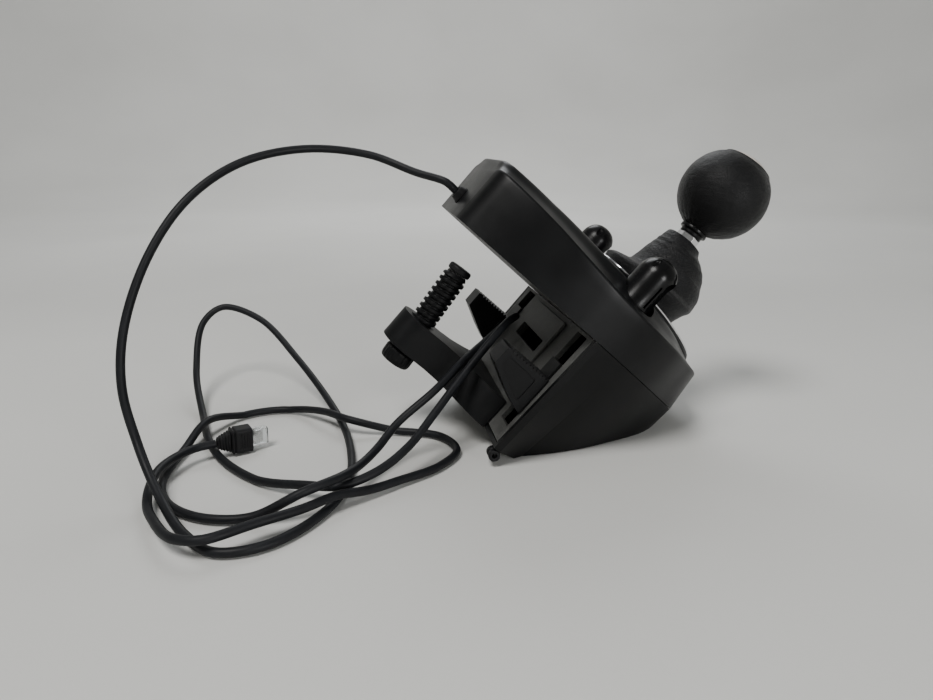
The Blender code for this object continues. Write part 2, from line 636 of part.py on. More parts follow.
def build_clamp(axes, name, sx, lift):
    """Knob, screw and jaw, which travel together, at their lift above the lowest place; and the nut."""
    centre = empty(f"clamp_axis_{name}", axes, (sx * KNOB_X, KNOB_Y, lift))
    profile = [(9.6, 24.1), (KNOB_R, 24.8), (KNOB_R, 41.0), (9.6, 44.5), (8.2, 47.6), (5.6, 49.5),
               (2.0, 50.2)]
    knob = add(f"clamp_knob_{name}", turned(profile, 24), "knob_plastic", centre)
    flat = box(-14.0, 14.0, -14.0, -8.2, 23.0, 43.5)
    combine(knob, cutter(f"cut_knob_flat_{name}", flat, centre))
    groove = box(-1.2, 1.2, -12.0, -6.8, 23.0, 41.0)
    combine(knob, cutter(f"cut_knob_groove_{name}", groove, centre))
    socket = turned([(CLAMP_BORE_R, 20.0), (CLAMP_BORE_R, 34.0)], 12)
    combine(knob, cutter(f"cut_knob_socket_{name}", socket, centre))
    r, flange = CLAMP_SCREW_R, CLAMP_SCREW_R + 1.7
    low, high = JAW_TOP - JAW_BLOCK - 0.4, JAW_TOP + 0.4
    screw = [(r, low - 2.2), (flange, low - 1.8), (flange, low), (r, low), (r, high), (flange, high),
             (flange, high + 1.6), (r, high + 1.6), (r, 33.0), (2.0, 33.5)]
    add(f"clamp_screw_{name}", turned(screw, 12), "steel", centre)
    nut = ring_turned([(3.4, 13.0), (7.0, 13.0), (7.0, 17.7), (3.4, 17.7)], 6)
    add(f"clamp_nut_{name}", nut, "steel", axes, (sx * KNOB_X, KNOB_Y, 0))
    build_jaw(axes, name, sx, lift)


def jaw_profile():
    """(y, z) outline of the toothed wedge, its flat top level with the deck."""
    start, step = 2.0, (JAW_REACH - 3.5) / JAW_TEETH
    edge = [(0.6, JAW_TOP)]
    for i in range(JAW_TEETH):
        edge += [(start + step * i, JAW_TOP - 1.2), (start + step * (i + 0.5), JAW_TOP)]
    tip = [(JAW_REACH, JAW_TOP - 0.5), (JAW_REACH, JAW_TOP - 10.0)]
    return edge + tip + [(13.0, JAW_TOP - 17.0), (5.0, JAW_TOP - 20.5), (0.6, JAW_TOP - 21.5)]


def build_jaw(axes, name, sx, lift):
    """Toothed wedge outside the wall, its carriage in the slot, and the nut block on the screw."""
    x0, x1 = sx * (SLOT_X[0] + GAP), sx * (SLOT_X[1] - GAP)
    wedge = side_prism([(y, z + lift) for y, z in jaw_profile()], x0, sx * (SLOT_X[1] + 2.0))
    jaw = add(f"clamp_jaw_{name}", wedge, "clamp_plastic", axes)
    carriage = box(x0, x1, -COVER_THICK - 1.0, 0.9, JAW_TOP - 21.0 + lift, JAW_TOP + 9.0 + lift)
    combine(jaw, cutter(f"join_carriage_{name}", carriage, axes), "UNION")
    y0, y1 = -12.8, -COVER_THICK - 0.6
    z0, z1 = JAW_TOP - JAW_BLOCK + lift, JAW_TOP + lift
    block = box(sx * (KNOB_X - 5.0), sx * (KNOB_X + 3.9), y0, y1, z0, z1)
    combine(jaw, cutter(f"join_nut_{name}", block, axes), "UNION")
    bore = turned([(CLAMP_BORE_R, -50.0), (CLAMP_BORE_R, -10.0)], 16)
    combine(jaw, cutter(f"cut_nut_bore_{name}", bore, axes, (sx * KNOB_X, KNOB_Y, 0)))


# ---------------------------------------------------------------- lower bracket and its screw

def arm_outline():
    """Plan of the bracket: wide at the wall, narrow arm, round boss at its end."""
    boss = [(13.0 * math.cos(a), ARM_SCREW_Y + 13.0 * math.sin(a))
            for a in [math.pi * i / 12 for i in range(13)]]
    left = [(-13.0, 37.0), (-16.0, 29.0), (-24.0, 19.0), (-34.0, 8.0), (-36.0, GAP)]
    right = [(-x, y) for x, y in reversed(left)]
    return boss + left + right


def build_arm(axes, cover):
    arm = add("bracket_arm", prism(arm_outline(), ARM_LOW, ARM_TOP), "clamp_plastic", axes)
    hollow = [(x * 0.72, 16 + (y - 16) * 0.62) for x, y in arm_outline()]
    under = prism([(x, y) for x, y in hollow if y < 36.0], ARM_LOW - 5.0, ARM_TOP - 5.0)
    combine(arm, cutter("cut_arm_underside", under, axes))
    lean = (-ARM_SCREW_LEAN_DEG, 0, 0)
    bore = turned([(ARM_SCREW_R + 0.5, -30.0), (ARM_SCREW_R + 0.5, 30.0)], 24)
    combine(arm, cutter("cut_screw_bore", bore, axes, (0, ARM_SCREW_Y, ARM_SCREW_Z), lean))
    for name, sx in (("left", -1), ("right", 1)):
        hole = turn_to(turned([(2.2, -9.0), (2.2, 7.0)], 12), "Y")
        tool = cutter(f"cut_arm_hole_{name}", hole, axes, (sx * ARM_BOLT_X, 0.0, ARM_BOLT_Z))
        combine(arm, tool)
        combine(cover, tool)
        add_arm_screw(axes, name, sx)


def add_arm_screw(axes, name, sx):
    profile = [(3.6, -5.2), (3.6, -3.1), (1.8, -3.1), (1.8, 6.0)]
    screw = turn_to(turned(profile, 10), "Y")
    add(f"bracket_bolt_{name}", screw, "steel", axes, (sx * ARM_BOLT_X, 0.0, ARM_BOLT_Z))


def thread(radius, depth, pitch, z0, z1, steps=10):
    """Coarse rounded thread: one solid whose radius follows the helix, its two ends flat."""
    rows = int(round((z1 - z0) / pitch * 4))
    rings = []
    for k in range(rows + 1):
        z = z0 + (z1 - z0) * k / rows
        ring = []
        for i in range(steps):
            a = 2 * math.pi * i / steps
            wave = 0.5 + 0.5 * math.cos(2 * math.pi * (z / pitch) - a)
            r = radius - depth * (1.0 - wave**0.7)
            ring.append((r * math.cos(a), r * math.sin(a), z))
        rings.append(ring)
    return loft(rings)


def build_arm_screw(axes):
    place = (0, ARM_SCREW_Y, ARM_SCREW_Z)
    centre = empty("bracket_screw_axis", axes, place, (-ARM_SCREW_LEAN_DEG, 0, 0))
    add("bracket_screw", thread(ARM_SCREW_R, 1.5, ARM_PITCH, -9.0, 40.0), "clamp_plastic", centre)
    knob = [(7.0, -17.5), (8.2, -16.5), (8.6, -14.0), (8.6, -10.6), (7.8, -9.9), (5.2, -9.4)]
    add("bracket_knob", turned(knob, 24), "clamp_plastic", centre)
    pad = [(6.0, 40.4), (6.4, 40.9), (6.4, 43.2), (5.6, 44.0)]
    add("screw_pad", turned(pad, 24), "plug_rubber", centre)


# ---------------------------------------------------------------- electronics and cable

def build_board(axes):
    add("circuit_board", box(-24.0, 24.0, -7.4, -5.8, -54.0, -29.0), "circuit", axes)
    add("board_socket", box(-5.0, 5.0, -13.0, -7.7, -38.0, -31.0), "nylon", axes)


def tilted(x, y, z):
    """Place given in the shifter's own axes, in floor axes."""
    c, s = math.cos(math.radians(TILT_DEG)), math.sin(math.radians(TILT_DEG))
    return (x, y * c - z * s, y * s + z * c)


def cable_path():
    """Cable route: board, deck outlet, high arc, floor, standing loop, bight in the clamp, floor, plug."""
    inside = [tilted(0, -10.4, -30.6), tilted(0, -10.4, -9), tilted(0, -5, 4), tilted(0, 10, OUTLET_Z),
              tilted(0, 45, OUTLET_Z), tilted(0, 70, OUTLET_Z), tilted(0, 78, OUTLET_Z),
              tilted(0, 84, OUTLET_Z), tilted(0.5, 89, OUTLET_Z)]
    low = FLOOR_Z + CABLE_R + 0.1
    arc = [(10, 74, 71.5), (20, 97, 80), (18, 128, 83), (6, 158, 77), (-10, 181, 61.5), (-24, 197.5, 38),
           (-38, 208, 8), (-47, 209.5, -16), (-58, 203, -38), (-76, 192, -53)]
    first_run = [(-98, 178, low), (-114, 163, low), (-112, 144, low), (-92, 124, low), (-66, 114, low),
                 (-34, 113, low), (8, 120, low + 2)]
    loop = [(56, 143.5, -40), (86, 169, -20.5), (95, 192, -14.5), (88, 203, -22), (62, 204.5, -45),
            (22, 194, low)]
    second_run = [(-10, 185, low), (-36, 173, low), (-58, 155, low), (-74, 132, low + 4),
                  (-79, 117, low + 5), (-74, 101, low + 8)]
    bight = [(-62, 86, -46.5), (-48, 72.5, -37), (-34, 57, -24), (-18, 36, -7), (-9, 28, -3), (-2, 23, -3),
             (3, 26, -7), (0, 34, -12.5), (-13, 47, -17.5), (-21, 54, -20), (-36, 71, -30),
             (-45, 90, -42), (-56, 100, -49)]
    third_run = [(-68, 108, low + 9), (-82, 116, low + 11), (-92, 132, low + 10), (-92, 152, low + 1),
                 (-89, 170, low), (-81, 183, low), (-69, 192, low), (-50, 197, low), (-20, 194, low + 1),
                 (2, 187, low + 6), (22, 172, low), (26, 148, low), (8, 128, low + 5), (-8, 114, low + 6),
                 (-14, 88, low), (-24, 67, low), (-42, 61, low), (-58, 72, low)]
    fourth_run = [(-71, 92, low + 1), (-79, 105, low + 2), (-87, 118, low + 5), (-97, 132, low + 5.5),
                  (-106, 149, low + 6), (-114.5, 166.5, low + 6), (-111, 176.5, low + 5),
                  (-105.5, 182, low + 4), (-92, 190, low + 3), (-80, 195.5, low + 2.5),
                  (-70, 197.5, low + 4.5), (-53, 197.5, low + 6), (-39, 193, low + 5.6),
                  (-31, 186.5, low + 5.4), (-27, 178, low + 5.4)]
    knots = inside + arc + first_run + loop + second_run + bight + third_run + fourth_run
    path = smooth_path(knots, CABLE_STEP)
    for p in path:
        p.z = max(p.z, low)
    return path


def build_cable():
    add("cable", tube(cable_path(), CABLE_R), "cable_rubber", None)


def build_grommet(axes):
    outer = ring_turned([(2.7, 74.0), (4.2, 74.0), (4.2, 79.6), (3.4, 82.5), (2.7, 82.5)], 12)
    add("cable_grommet", turn_to(outer, "Y"), "plug_rubber", axes, (0, 0, OUTLET_Z))


def build_plug():
    way = Vector(PLUG_WAY).normalized()
    turn = way.to_track_quat("X", "Z").to_euler()
    angles = [math.degrees(a) for a in turn]
    base = empty("plug_axes", None, PLUG_START, angles)
    relief = [(0.6, 2.6, 2.8), (6.8, 3.6, 5.4)]
    rings = [[(x, sy * half_y, sz * half_z) for sy, sz in ((1, 1), (1, -1), (-1, -1), (-1, 1))]
             for x, half_y, half_z in relief]
    add("plug_strain_relief", loft(rings), "plug_rubber", base)
    add("plug_overmould", box(7.1, 17.3, -4.2, 4.2, -6.3, 6.3), "plug_rubber", base)
    plug = add("plug_shell", box(17.6, 23.2, -1.0, 1.0, -3.4, 3.4), "plug_steel", base)
    combine(plug, cutter("cut_plug_mouth", box(18.6, 25.0, -0.7, 0.7, -3.1, 3.1), base))
    cap = add("plug_clear_cap", box(18.0, 25.6, -2.2, 2.2, -4.6, 4.6), "clear_plastic", base)
    combine(cap, cutter("cut_cap_inside", box(15.0, 24.6, -1.3, 1.3, -3.7, 3.7), base))


def main():
    clear_scene()
    axes = empty("shifter_axes", rotation=(TILT_DEG, 0, 0))
    build_deck(axes)
    build_deck_plate(axes)
    build_deck_screws(axes)
    build_casing(axes)
    cover = build_back_cover(axes)
    build_centre_panel(axes, cover)
    build_corner_feet(axes)
    build_bezel(axes)
    build_boot(axes)
    build_cradle(axes)
    build_gate(axes)
    build_fore_aft_sensor(axes)
    build_board(axes)
    lever = empty("lever_axes", axes, PIVOT, (-LEAN_DEG, 0, 0))
    build_gimbal(lever)
    build_hub(lever)
    build_shaft(lever)
    build_ball(lever)
    build_clamp(axes, "left", -1, 0.0)
    build_clamp(axes, "right", 1, RIGHT_LIFT)
    build_arm(axes, cover)
    build_arm_screw(axes)
    build_cable()
    build_grommet(axes)
    build_plug()


main()
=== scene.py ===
"""Looks of an H-pattern gear shifter lying on a pale floor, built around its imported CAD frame.

Shapes are worked out in millimetres in the shifter's own axes (z = 0 is the deck's underside, y = 0 the back
wall, +Z runs up the lever) and placed by the record's mounts and joints, so they sit where the CAD has them.
"""

import json
import math

import bmesh
import bpy
from mathutils import Matrix, Vector, noise


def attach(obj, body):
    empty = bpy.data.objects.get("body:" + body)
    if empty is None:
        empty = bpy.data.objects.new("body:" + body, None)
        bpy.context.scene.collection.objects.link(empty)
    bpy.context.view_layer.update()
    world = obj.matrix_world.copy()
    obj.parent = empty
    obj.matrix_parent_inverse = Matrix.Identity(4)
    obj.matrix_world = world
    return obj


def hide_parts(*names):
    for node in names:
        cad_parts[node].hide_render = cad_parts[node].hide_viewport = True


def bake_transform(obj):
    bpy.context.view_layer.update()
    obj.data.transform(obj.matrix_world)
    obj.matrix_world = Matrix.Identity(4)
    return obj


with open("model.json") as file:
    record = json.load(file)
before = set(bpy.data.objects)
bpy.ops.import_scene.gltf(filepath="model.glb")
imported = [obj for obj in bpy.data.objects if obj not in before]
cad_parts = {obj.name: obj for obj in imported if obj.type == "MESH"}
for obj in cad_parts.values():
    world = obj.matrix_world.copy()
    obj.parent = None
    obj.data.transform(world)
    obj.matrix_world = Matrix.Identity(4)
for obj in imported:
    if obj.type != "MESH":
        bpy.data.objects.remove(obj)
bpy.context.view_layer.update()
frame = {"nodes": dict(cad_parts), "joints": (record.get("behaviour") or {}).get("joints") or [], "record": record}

RECORD = frame["record"]
MOUNTS = {m["name"]: m for m in RECORD["mounts"]}
JOINTS = {j["name"]: j for j in frame["joints"]}


def axes_at(place, up):
    """Millimetre axes at a place in the row frame: x stays level, z runs along up."""
    z = Vector(up).normalized()
    x = Vector((1, 0, 0))
    y = z.cross(x).normalized()
    turn = Matrix((x, y, z)).transposed().to_4x4()
    return Matrix.Translation(place) @ turn @ Matrix.Scale(0.001, 4)


DECK_DOWN = Vector(MOUNTS["deck_underside"]["axis"])
SHIFTER = axes_at(MOUNTS["deck_underside"]["pos_m"], -DECK_DOWN)
LEVER = axes_at(JOINTS["lever_fore_aft"]["pos_m"], JOINTS["lever_push"]["axis"])
THRUST = axes_at(JOINTS["thrust_screw_turn"]["pos_m"], JOINTS["thrust_screw_turn"]["axis"])
LIFT = {"left": 0.0, "right": 5.5}
FLOOR = Matrix.Scale(0.001, 4)
FLOOR_Z = MOUNTS["rest_face"]["pos_m"][2] * 1000.0
TILT = math.atan2(DECK_DOWN.y, -DECK_DOWN.z)
SIDES = (("left", -1), ("right", 1))


def knob_axes(side):
    turn = JOINTS[f"{side}_knob_turn"]
    return axes_at(turn["pos_m"], turn["axis"]) @ Matrix.Translation((0, 0, LIFT[side]))


GAP = 0.3

# deck outlines: (y, value) knots, the same ones the solids are made from
DECK_REAR_Y = 79.0
DECK_WIDTHS = [
    (-80.5, 7.0), (-78.6, 15.0), (-76.0, 21.8), (-72.0, 29.0), (-66.0, 36.0), (-57.0, 43.0),
    (-38.0, 56.0), (-19.5, 62.4), (-8.0, 63.6), (5.0, 63.2), (20.0, 60.5), (40.0, 54.5), (58.0, 47.0),
    (70.0, 40.5), (75.5, 36.5), (78.0, 32.5), (DECK_REAR_Y, 28.0)]
RIM_HEIGHTS = [
    (-80.5, 22.7), (-19.0, 22.5), (0.0, 23.0), (23.0, 25.0), (47.0, 27.7), (72.0, 29.6), (79.0, 29.9)]
CREST_HEIGHTS = [
    (-80.5, 23.6), (-69.0, 25.8), (-60.0, 27.2), (-29.0, 30.7), (0.0, 32.4), (20.0, 33.6),
    (45.0, 35.2), (60.0, 35.5), (72.0, 35.4), (DECK_REAR_Y, 34.6)]
NOSE_DRAFT, NOSE_START = 4.5, -40.0
CREASE_Y = -38.0
KNOB_TURNS = {"left": -36.0, "right": -12.0}
BEZEL_WIDTHS = [
    (-74.0, 8.0), (-72.0, 13.0), (-65.0, 20.0), (-52.0, 27.0), (-29.0, 33.2), (-12.0, 34.4), (0.0, 32.0),
    (6.0, 26.0), (9.5, 17.0), (10.5, 8.0)]
BEZEL_THICK = 2.0
WALL_HALF_TOP, WALL_HALF_LOW, WALL_LOW_Z = 63.2, 60.0, -69.0
NOSE_SCALE_LOW = 0.78
BODY_SKIN = 2.6
OPENING_Y, OPENING_R = -28.0, 27.0
KNOB_X, KNOB_Y, KNOB_R = 47.5, -8.4, 10.0
BALL_Z, BALL_R, CAP_R, BALL_BORE = 99.8, 23.7, 13.7, 4.35
SHAFT_R = 4.0
JAW_TOP, JAW_REACH, JAW_TEETH, JAW_BLOCK = -27.9, 26.5, 11, 15.0
SLOT_X, COVER_THICK, COVER_BACK = (41.0, 54.0), 2.7, -0.3
ARM_TOP, ARM_LOW, ARM_SCREW_Y = -51.8, -69.2, 50.5
ARM_BOLT_X, ARM_BOLT_Z, ARM_BOLT_HOLE = 24.0, -55.0, 2.2
PANEL_SLOT_X, PANEL_SLOT_Z = 20.0, (-25.0, -17.5)
POST_PLACES = ((33.0, -19.0), (25.0, -50.0))
SCREW_HOLE = 2.9
THREAD_R, THREAD_PITCH = 6.9, 3.5
CABLE_R = 2.0
OUTLET_Z = 10.0


# ---------------------------------------------------------------- curves and solids

def along(knots, x):
    """Value at x through (x, value) knots in rising x: a cubic whose slopes never overshoot."""
    xs = [k[0] for k in knots]
    vs = [k[1] for k in knots]
    steps = [(vs[i + 1] - vs[i]) / (xs[i + 1] - xs[i]) for i in range(len(xs) - 1)]
    slopes = [steps[0]]
    for a, b in zip(steps, steps[1:]):
        slopes.append(2 * a * b / (a + b) if a * b > 0 else 0.0)
    slopes.append(steps[-1])
    x = min(max(x, xs[0]), xs[-1])
    i = max(k for k in range(len(steps)) if xs[k] <= x)
    h = xs[i + 1] - xs[i]
    t = (x - xs[i]) / h
    return ((2 * t**3 - 3 * t**2 + 1) * vs[i] + (t**3 - 2 * t**2 + t) * h * slopes[i]
            + (3 * t**2 - 2 * t**3) * vs[i + 1] + (t**3 - t**2) * h * slopes[i + 1])


def spread(first, last, step):
    """Even stations from first to last, about step apart."""
    count = max(1, round(abs(last - first) / step))
    return [first + (last - first) * i / count for i in range(count + 1)]


def fillet(points, cut, closed=True, steps=4):
    """Round the corners of a 2-D outline; cut is how far each round reaches, one number or one a corner."""
    out = []
    count = len(points)
    for i, point in enumerate(points):
        reach = cut[i] if isinstance(cut, (list, tuple)) else cut
        if reach <= 0 or (not closed and i in (0, count - 1)):
            out.append(tuple(point))
            continue
        p = Vector(point)
        a = Vector(points[i - 1]) - p
        b = Vector(points[(i + 1) % count]) - p
        reach = min(reach, a.length * 0.48, b.length * 0.48)
        start, end = p + a.normalized() * reach, p + b.normalized() * reach
        for k in range(steps + 1):
            t = k / steps
            out.append(tuple(start.lerp(p, t).lerp(p.lerp(end, t), t)))
    return out


def loft(rings, closed=False, caps=True, stepped=False):
    """Skin between rings of equal length. closed joins the last ring to the first; stepped ends are quads."""
    bm = bmesh.new()
    rows = [[bm.verts.new(p) for p in ring] for ring in rings]
    count = len(rows[0])
    pairs = list(zip(rows, rows[1:]))
    if closed:
        pairs.append((rows[-1], rows[0]))
    for low, high in pairs:
        for i in range(count):
            j = (i + 1) % count
            bm.faces.new((low[i], low[j], high[j], high[i]))
    if closed or not caps:
        return bm
    for row in (rows[0], rows[-1]):
        if stepped:
            for i in range(count // 2 - 1):
                bm.faces.new((row[i], row[i + 1], row[count - i - 2], row[count - i - 1]))
        else:
            bm.faces.new(row)
    return bm


def turns(count):
    """Angles of count even steps round a circle."""
    return [2 * math.pi * i / count for i in range(count)]


def prism(outline, z0, z1):
    return loft([[(x, y, z) for x, y in outline] for z in (z0, z1)])


def side_prism(outline, x0, x1):
    return loft([[(x, y, z) for y, z in outline] for x in (x0, x1)])


def front_prism(outline, y0, y1):
    return loft([[(x, y, z) for x, z in outline] for y in (y0, y1)])


def box(x0, x1, y0, y1, z0, z1):
    return prism([(x0, y0), (x1, y0), (x1, y1), (x0, y1)], z0, z1)


def circle(radius, count, z=0.0, centre=(0.0, 0.0)):
    cx, cy = centre
    return [(cx + radius * math.cos(a), cy + radius * math.sin(a), z) for a in turns(count)]


def lathe(profile, count=64, closed=False):
    """Solid of revolution about Z from a (radius, z) profile."""
    return loft([circle(max(r, 0.02), count, z) for r, z in profile], closed=closed)


def rod(radius, low, high, count):
    """Plain cylinder about Z."""
    return lathe([(radius, low), (radius, high)], count)


def turned_to(bm, axis):
    """Turn a bmesh made along Z so that it runs along X or Y."""
    quarter, about = {"X": (math.pi / 2, "Y"), "Y": (-math.pi / 2, "X")}[axis]
    bm.transform(Matrix.Rotation(quarter, 4, about))
    return bm


def moved(bm, x, y, z):
    bm.transform(Matrix.Translation((x, y, z)))
    return bm


def smooth_path(knots, step):
    """Points about step apart on a centripetal spline through the knots."""
    pts = [Vector(k) for k in knots]
    pts = [pts[0] * 2 - pts[1]] + pts + [pts[-1] * 2 - pts[-2]]
    out = []
    for p0, p1, p2, p3 in zip(pts, pts[1:], pts[2:], pts[3:]):
        t0 = 0.0
        t1 = t0 + (p1 - p0).length ** 0.5
        t2 = t1 + (p2 - p1).length ** 0.5
        t3 = t2 + (p3 - p2).length ** 0.5
        count = max(2, round((p2 - p1).length / step))
        for i in range(count):
            t = t1 + (t2 - t1) * i / count
            a1 = p0.lerp(p1, (t - t0) / (t1 - t0))
            a2 = p1.lerp(p2, (t - t1) / (t2 - t1))
            a3 = p2.lerp(p3, (t - t2) / (t3 - t2))
            b1 = a1.lerp(a2, (t - t0) / (t2 - t0))
            b2 = a2.lerp(a3, (t - t1) / (t3 - t1))
            out.append(b1.lerp(b2, (t - t1) / (t2 - t1)))
    out.append(pts[-2])
    return out


def tube(points, radius, sides=16):
    """Round tube along points; radius is one number or a function of the share of the way along."""
    rings = []
    side = Vector((0, 0, 1))
    for i, p in enumerate(points):
        way = (points[min(i + 1, len(points) - 1)] - points[max(i - 1, 0)]).normalized()
        side = (side - way * side.dot(way)).normalized()
        other = way.cross(side)
        r = radius(i / (len(points) - 1)) if callable(radius) else radius
        rings.append([p + r * (side * math.cos(a) + other * math.sin(a)) for a in turns(sides)])
    return loft(rings)


# ---------------------------------------------------------------- materials

def make(tree, kind, links=None, **values):
    """Add a node, set its named inputs, and link sockets into it."""
    n = tree.nodes.new("ShaderNode" + kind)
    for key, value in values.items():
        name = key.replace("_", " ")
        if name in n.inputs:
            n.inputs[name].default_value = value
        else:
            setattr(n, key, value)
    for name, socket in (links or {}).items():
        tree.links.new(socket, n.inputs[name])
    return n


def spot_noise(tree, place, scale, detail=3.0, rough=0.5, stretch=None):
    """Noise over the piece; stretch squeezes it along the three axes."""
    if stretch:
        place = make(tree, "Mapping", {"Vector": place}, Scale=stretch).outputs["Vector"]
    node = make(tree, "TexNoise", {"Vector": place}, Scale=scale, Detail=detail, Roughness=rough)
    return node.outputs["Fac"]


def span(tree, value, low, high, to_low, to_high):
    """Map a value from one range to another, held at the ends."""
    n = make(tree, "MapRange", {"Value": value})
    for name, v in (("From Min", low), ("From Max", high), ("To Min", to_low), ("To Max", to_high)):
        n.inputs[name].default_value = v
    return n.outputs["Result"]


def mixed(tree, share, a, b):
    """Mix two colours, each a socket or a tuple, by a share socket."""
    n = tree.nodes.new("ShaderNodeMix")
    n.data_type = "RGBA"
    tree.links.new(share, n.inputs["Factor"])
    for socket, value in ((n.inputs[6], a), (n.inputs[7], b)):
        if isinstance(value, tuple):
            socket.default_value = (*value, 1.0)
        else:
            tree.links.new(value, socket)
    return n.outputs[2]


def feed(tree, shader, **sockets):
    """Link sockets into the shader's inputs of those names."""
    for name, socket in sockets.items():
        tree.links.new(socket, shader.inputs[name.replace("_", " ")])


def scaled(colour, k):
    return tuple(min(1.0, c * k) for c in colour)


def bumped(tree, height, strength, distance, below=None):
    links = {"Height": height}
    if below is not None:
        links["Normal"] = below
    return make(tree, "Bump", links, Strength=strength, Distance=distance).outputs["Normal"]


DULL_SHINE = 0.20


def start(name):
    """New material with a weak mirror share, with its tree, shader and place socket."""
    mat = bpy.data.materials.new(name)
    mat.use_nodes = True
    tree = mat.node_tree
    place = make(tree, "TexCoord").outputs["Object"]
    tree.nodes["Principled BSDF"].inputs["Specular IOR Level"].default_value = DULL_SHINE
    return mat, tree, tree.nodes["Principled BSDF"], place


def worn_share(tree, place, amount):
    """Where edges stick out and the noise agrees, so that wear comes and goes along an edge."""
    point = tree.nodes.new("ShaderNodeNewGeometry").outputs["Pointiness"]
    edge = span(tree, point, 0.52, 0.60, 0.0, amount)
    patch = span(tree, spot_noise(tree, place, 160.0, 4.0), 0.42, 0.62, 0.15, 1.0)
    return make(tree, "Math", {0: edge, 1: patch}, operation="MULTIPLY").outputs["Value"]


def plastic(name, colour, rough, grain=2600.0, grain_depth=0.00003, wear=0.35, scuffs=0.5):
    """Moulded plastic: fine spark-eroded grain, mould mottling, faint scuffs, and lighter worn edges."""
    mat, tree, shader, place = start(name)
    mottle = spot_noise(tree, place, 45.0, 4.0)
    base = mixed(tree, span(tree, mottle, 0.35, 0.65, 0.0, 1.0), scaled(colour, 0.82), scaled(colour, 1.22))
    speckle = span(tree, spot_noise(tree, place, grain * 0.7, 2.0), 0.55, 0.75, 0.0, 0.30)
    base = mixed(tree, speckle, base, scaled(colour, 2.4))
    base = mixed(tree, worn_share(tree, place, wear), base, scaled(colour, 3.6))
    feed(tree, shader, Base_Color=base)
    lines = spot_noise(tree, place, 70.0, 6.0, 0.7, (1.0, 9.0, 2.0))
    scuff = span(tree, lines, 0.60, 0.72, 0.0, scuffs * 0.12)
    dull = span(tree, mottle, 0.3, 0.7, rough - 0.05, rough + 0.05)
    total = make(tree, "Math", {0: dull, 1: scuff}, operation="SUBTRACT").outputs["Value"]
    feed(tree, shader, Roughness=total)
    normal = bumped(tree, spot_noise(tree, place, grain, 3.0, 0.6), 0.55, grain_depth)
    normal = bumped(tree, lines, 0.10, 0.00006, normal)
    feed(tree, shader, Normal=normal)
    return mat


def leather(name, colour, rough, cell=850.0, depth=0.00016, creases=0.5):
    """Grained leather: small cells parted by fine valleys, longer creases, shine on rubbed high spots."""
    mat, tree, shader, place = start(name)
    shift = make(tree, "TexNoise", {"Vector": place}, Scale=260.0, Detail=3.0)
    offset = make(tree, "VectorMath", {0: shift.outputs["Color"]}, operation="SCALE")
    offset.inputs["Scale"].default_value = 0.0011
    warped = make(tree, "VectorMath", {0: place, 1: offset.outputs["Vector"]}, operation="ADD")
    cells = make(tree, "TexVoronoi", {"Vector": warped.outputs["Vector"]}, Scale=cell)
    cells.feature = "DISTANCE_TO_EDGE"
    valleys = span(tree, cells.outputs["Distance"], 0.0, 0.16, 0.0, 1.0)
    tint = mixed(tree, valleys, scaled(colour, 0.55), scaled(colour, 1.12))
    cloud = span(tree, spot_noise(tree, place, 55.0, 4.0), 0.35, 0.7, 0.0, 0.55)
    tint = mixed(tree, cloud, tint, scaled(colour, 1.6))
    feed(tree, shader, Base_Color=tint)
    feed(tree, shader, Roughness=span(tree, valleys, 0.0, 1.0, rough + 0.18, rough))
    long = spot_noise(tree, place, 190.0, 5.0, 0.6, (1.0, 1.0, 3.2))
    normal = bumped(tree, valleys, 0.55, depth)
    normal = bumped(tree, long, creases, 0.0007, normal)
    feed(tree, shader, Normal=normal)
    shader.inputs["Sheen Weight"].default_value = 0.12
    shader.inputs["Sheen Roughness"].default_value = 0.4
    return mat


def metal(name, colour, rough, stretch=(1.0, 1.0, 14.0), depth=0.00001):
    """Bright metal: fine drawn lines, fingerprints that dull it a little, and darker patches that come and go at
    random.
    """
    mat, tree, shader, place = start(name)
    shader.inputs["Metallic"].default_value = 1.0
    lines = spot_noise(tree, place, 900.0, 4.0, 0.6, stretch)
    smear = spot_noise(tree, place, 130.0, 3.0)
    tint = mixed(tree, span(tree, smear, 0.35, 0.7, 0.0, 1.0), scaled(colour, 0.80), colour)
    feed(tree, shader, Base_Color=tint)
    dull = span(tree, smear, 0.35, 0.7, rough * 0.7, rough * 1.5)
    feed(tree, shader, Roughness=dull)
    feed(tree, shader, Normal=bumped(tree, lines, 0.25, depth))
    return mat


def rubber(name, colour, rough, grain=1800.0):
    """Dull rubber: fine even grain, dusty patches and slightly polished high spots."""
    mat, tree, shader, place = start(name)
    dust = span(tree, spot_noise(tree, place, 90.0, 5.0, 0.6), 0.45, 0.75, 0.0, 0.35)
    tint = mixed(tree, dust, colour, scaled(colour, 2.2))
    feed(tree, shader, Base_Color=tint)
    feed(tree, shader, Roughness=span(tree, dust, 0.0, 0.35, rough - 0.04, rough + 0.10))
    feed(tree, shader, Normal=bumped(tree, spot_noise(tree, place, grain, 3.0), 0.45, 0.00003))
    return mat


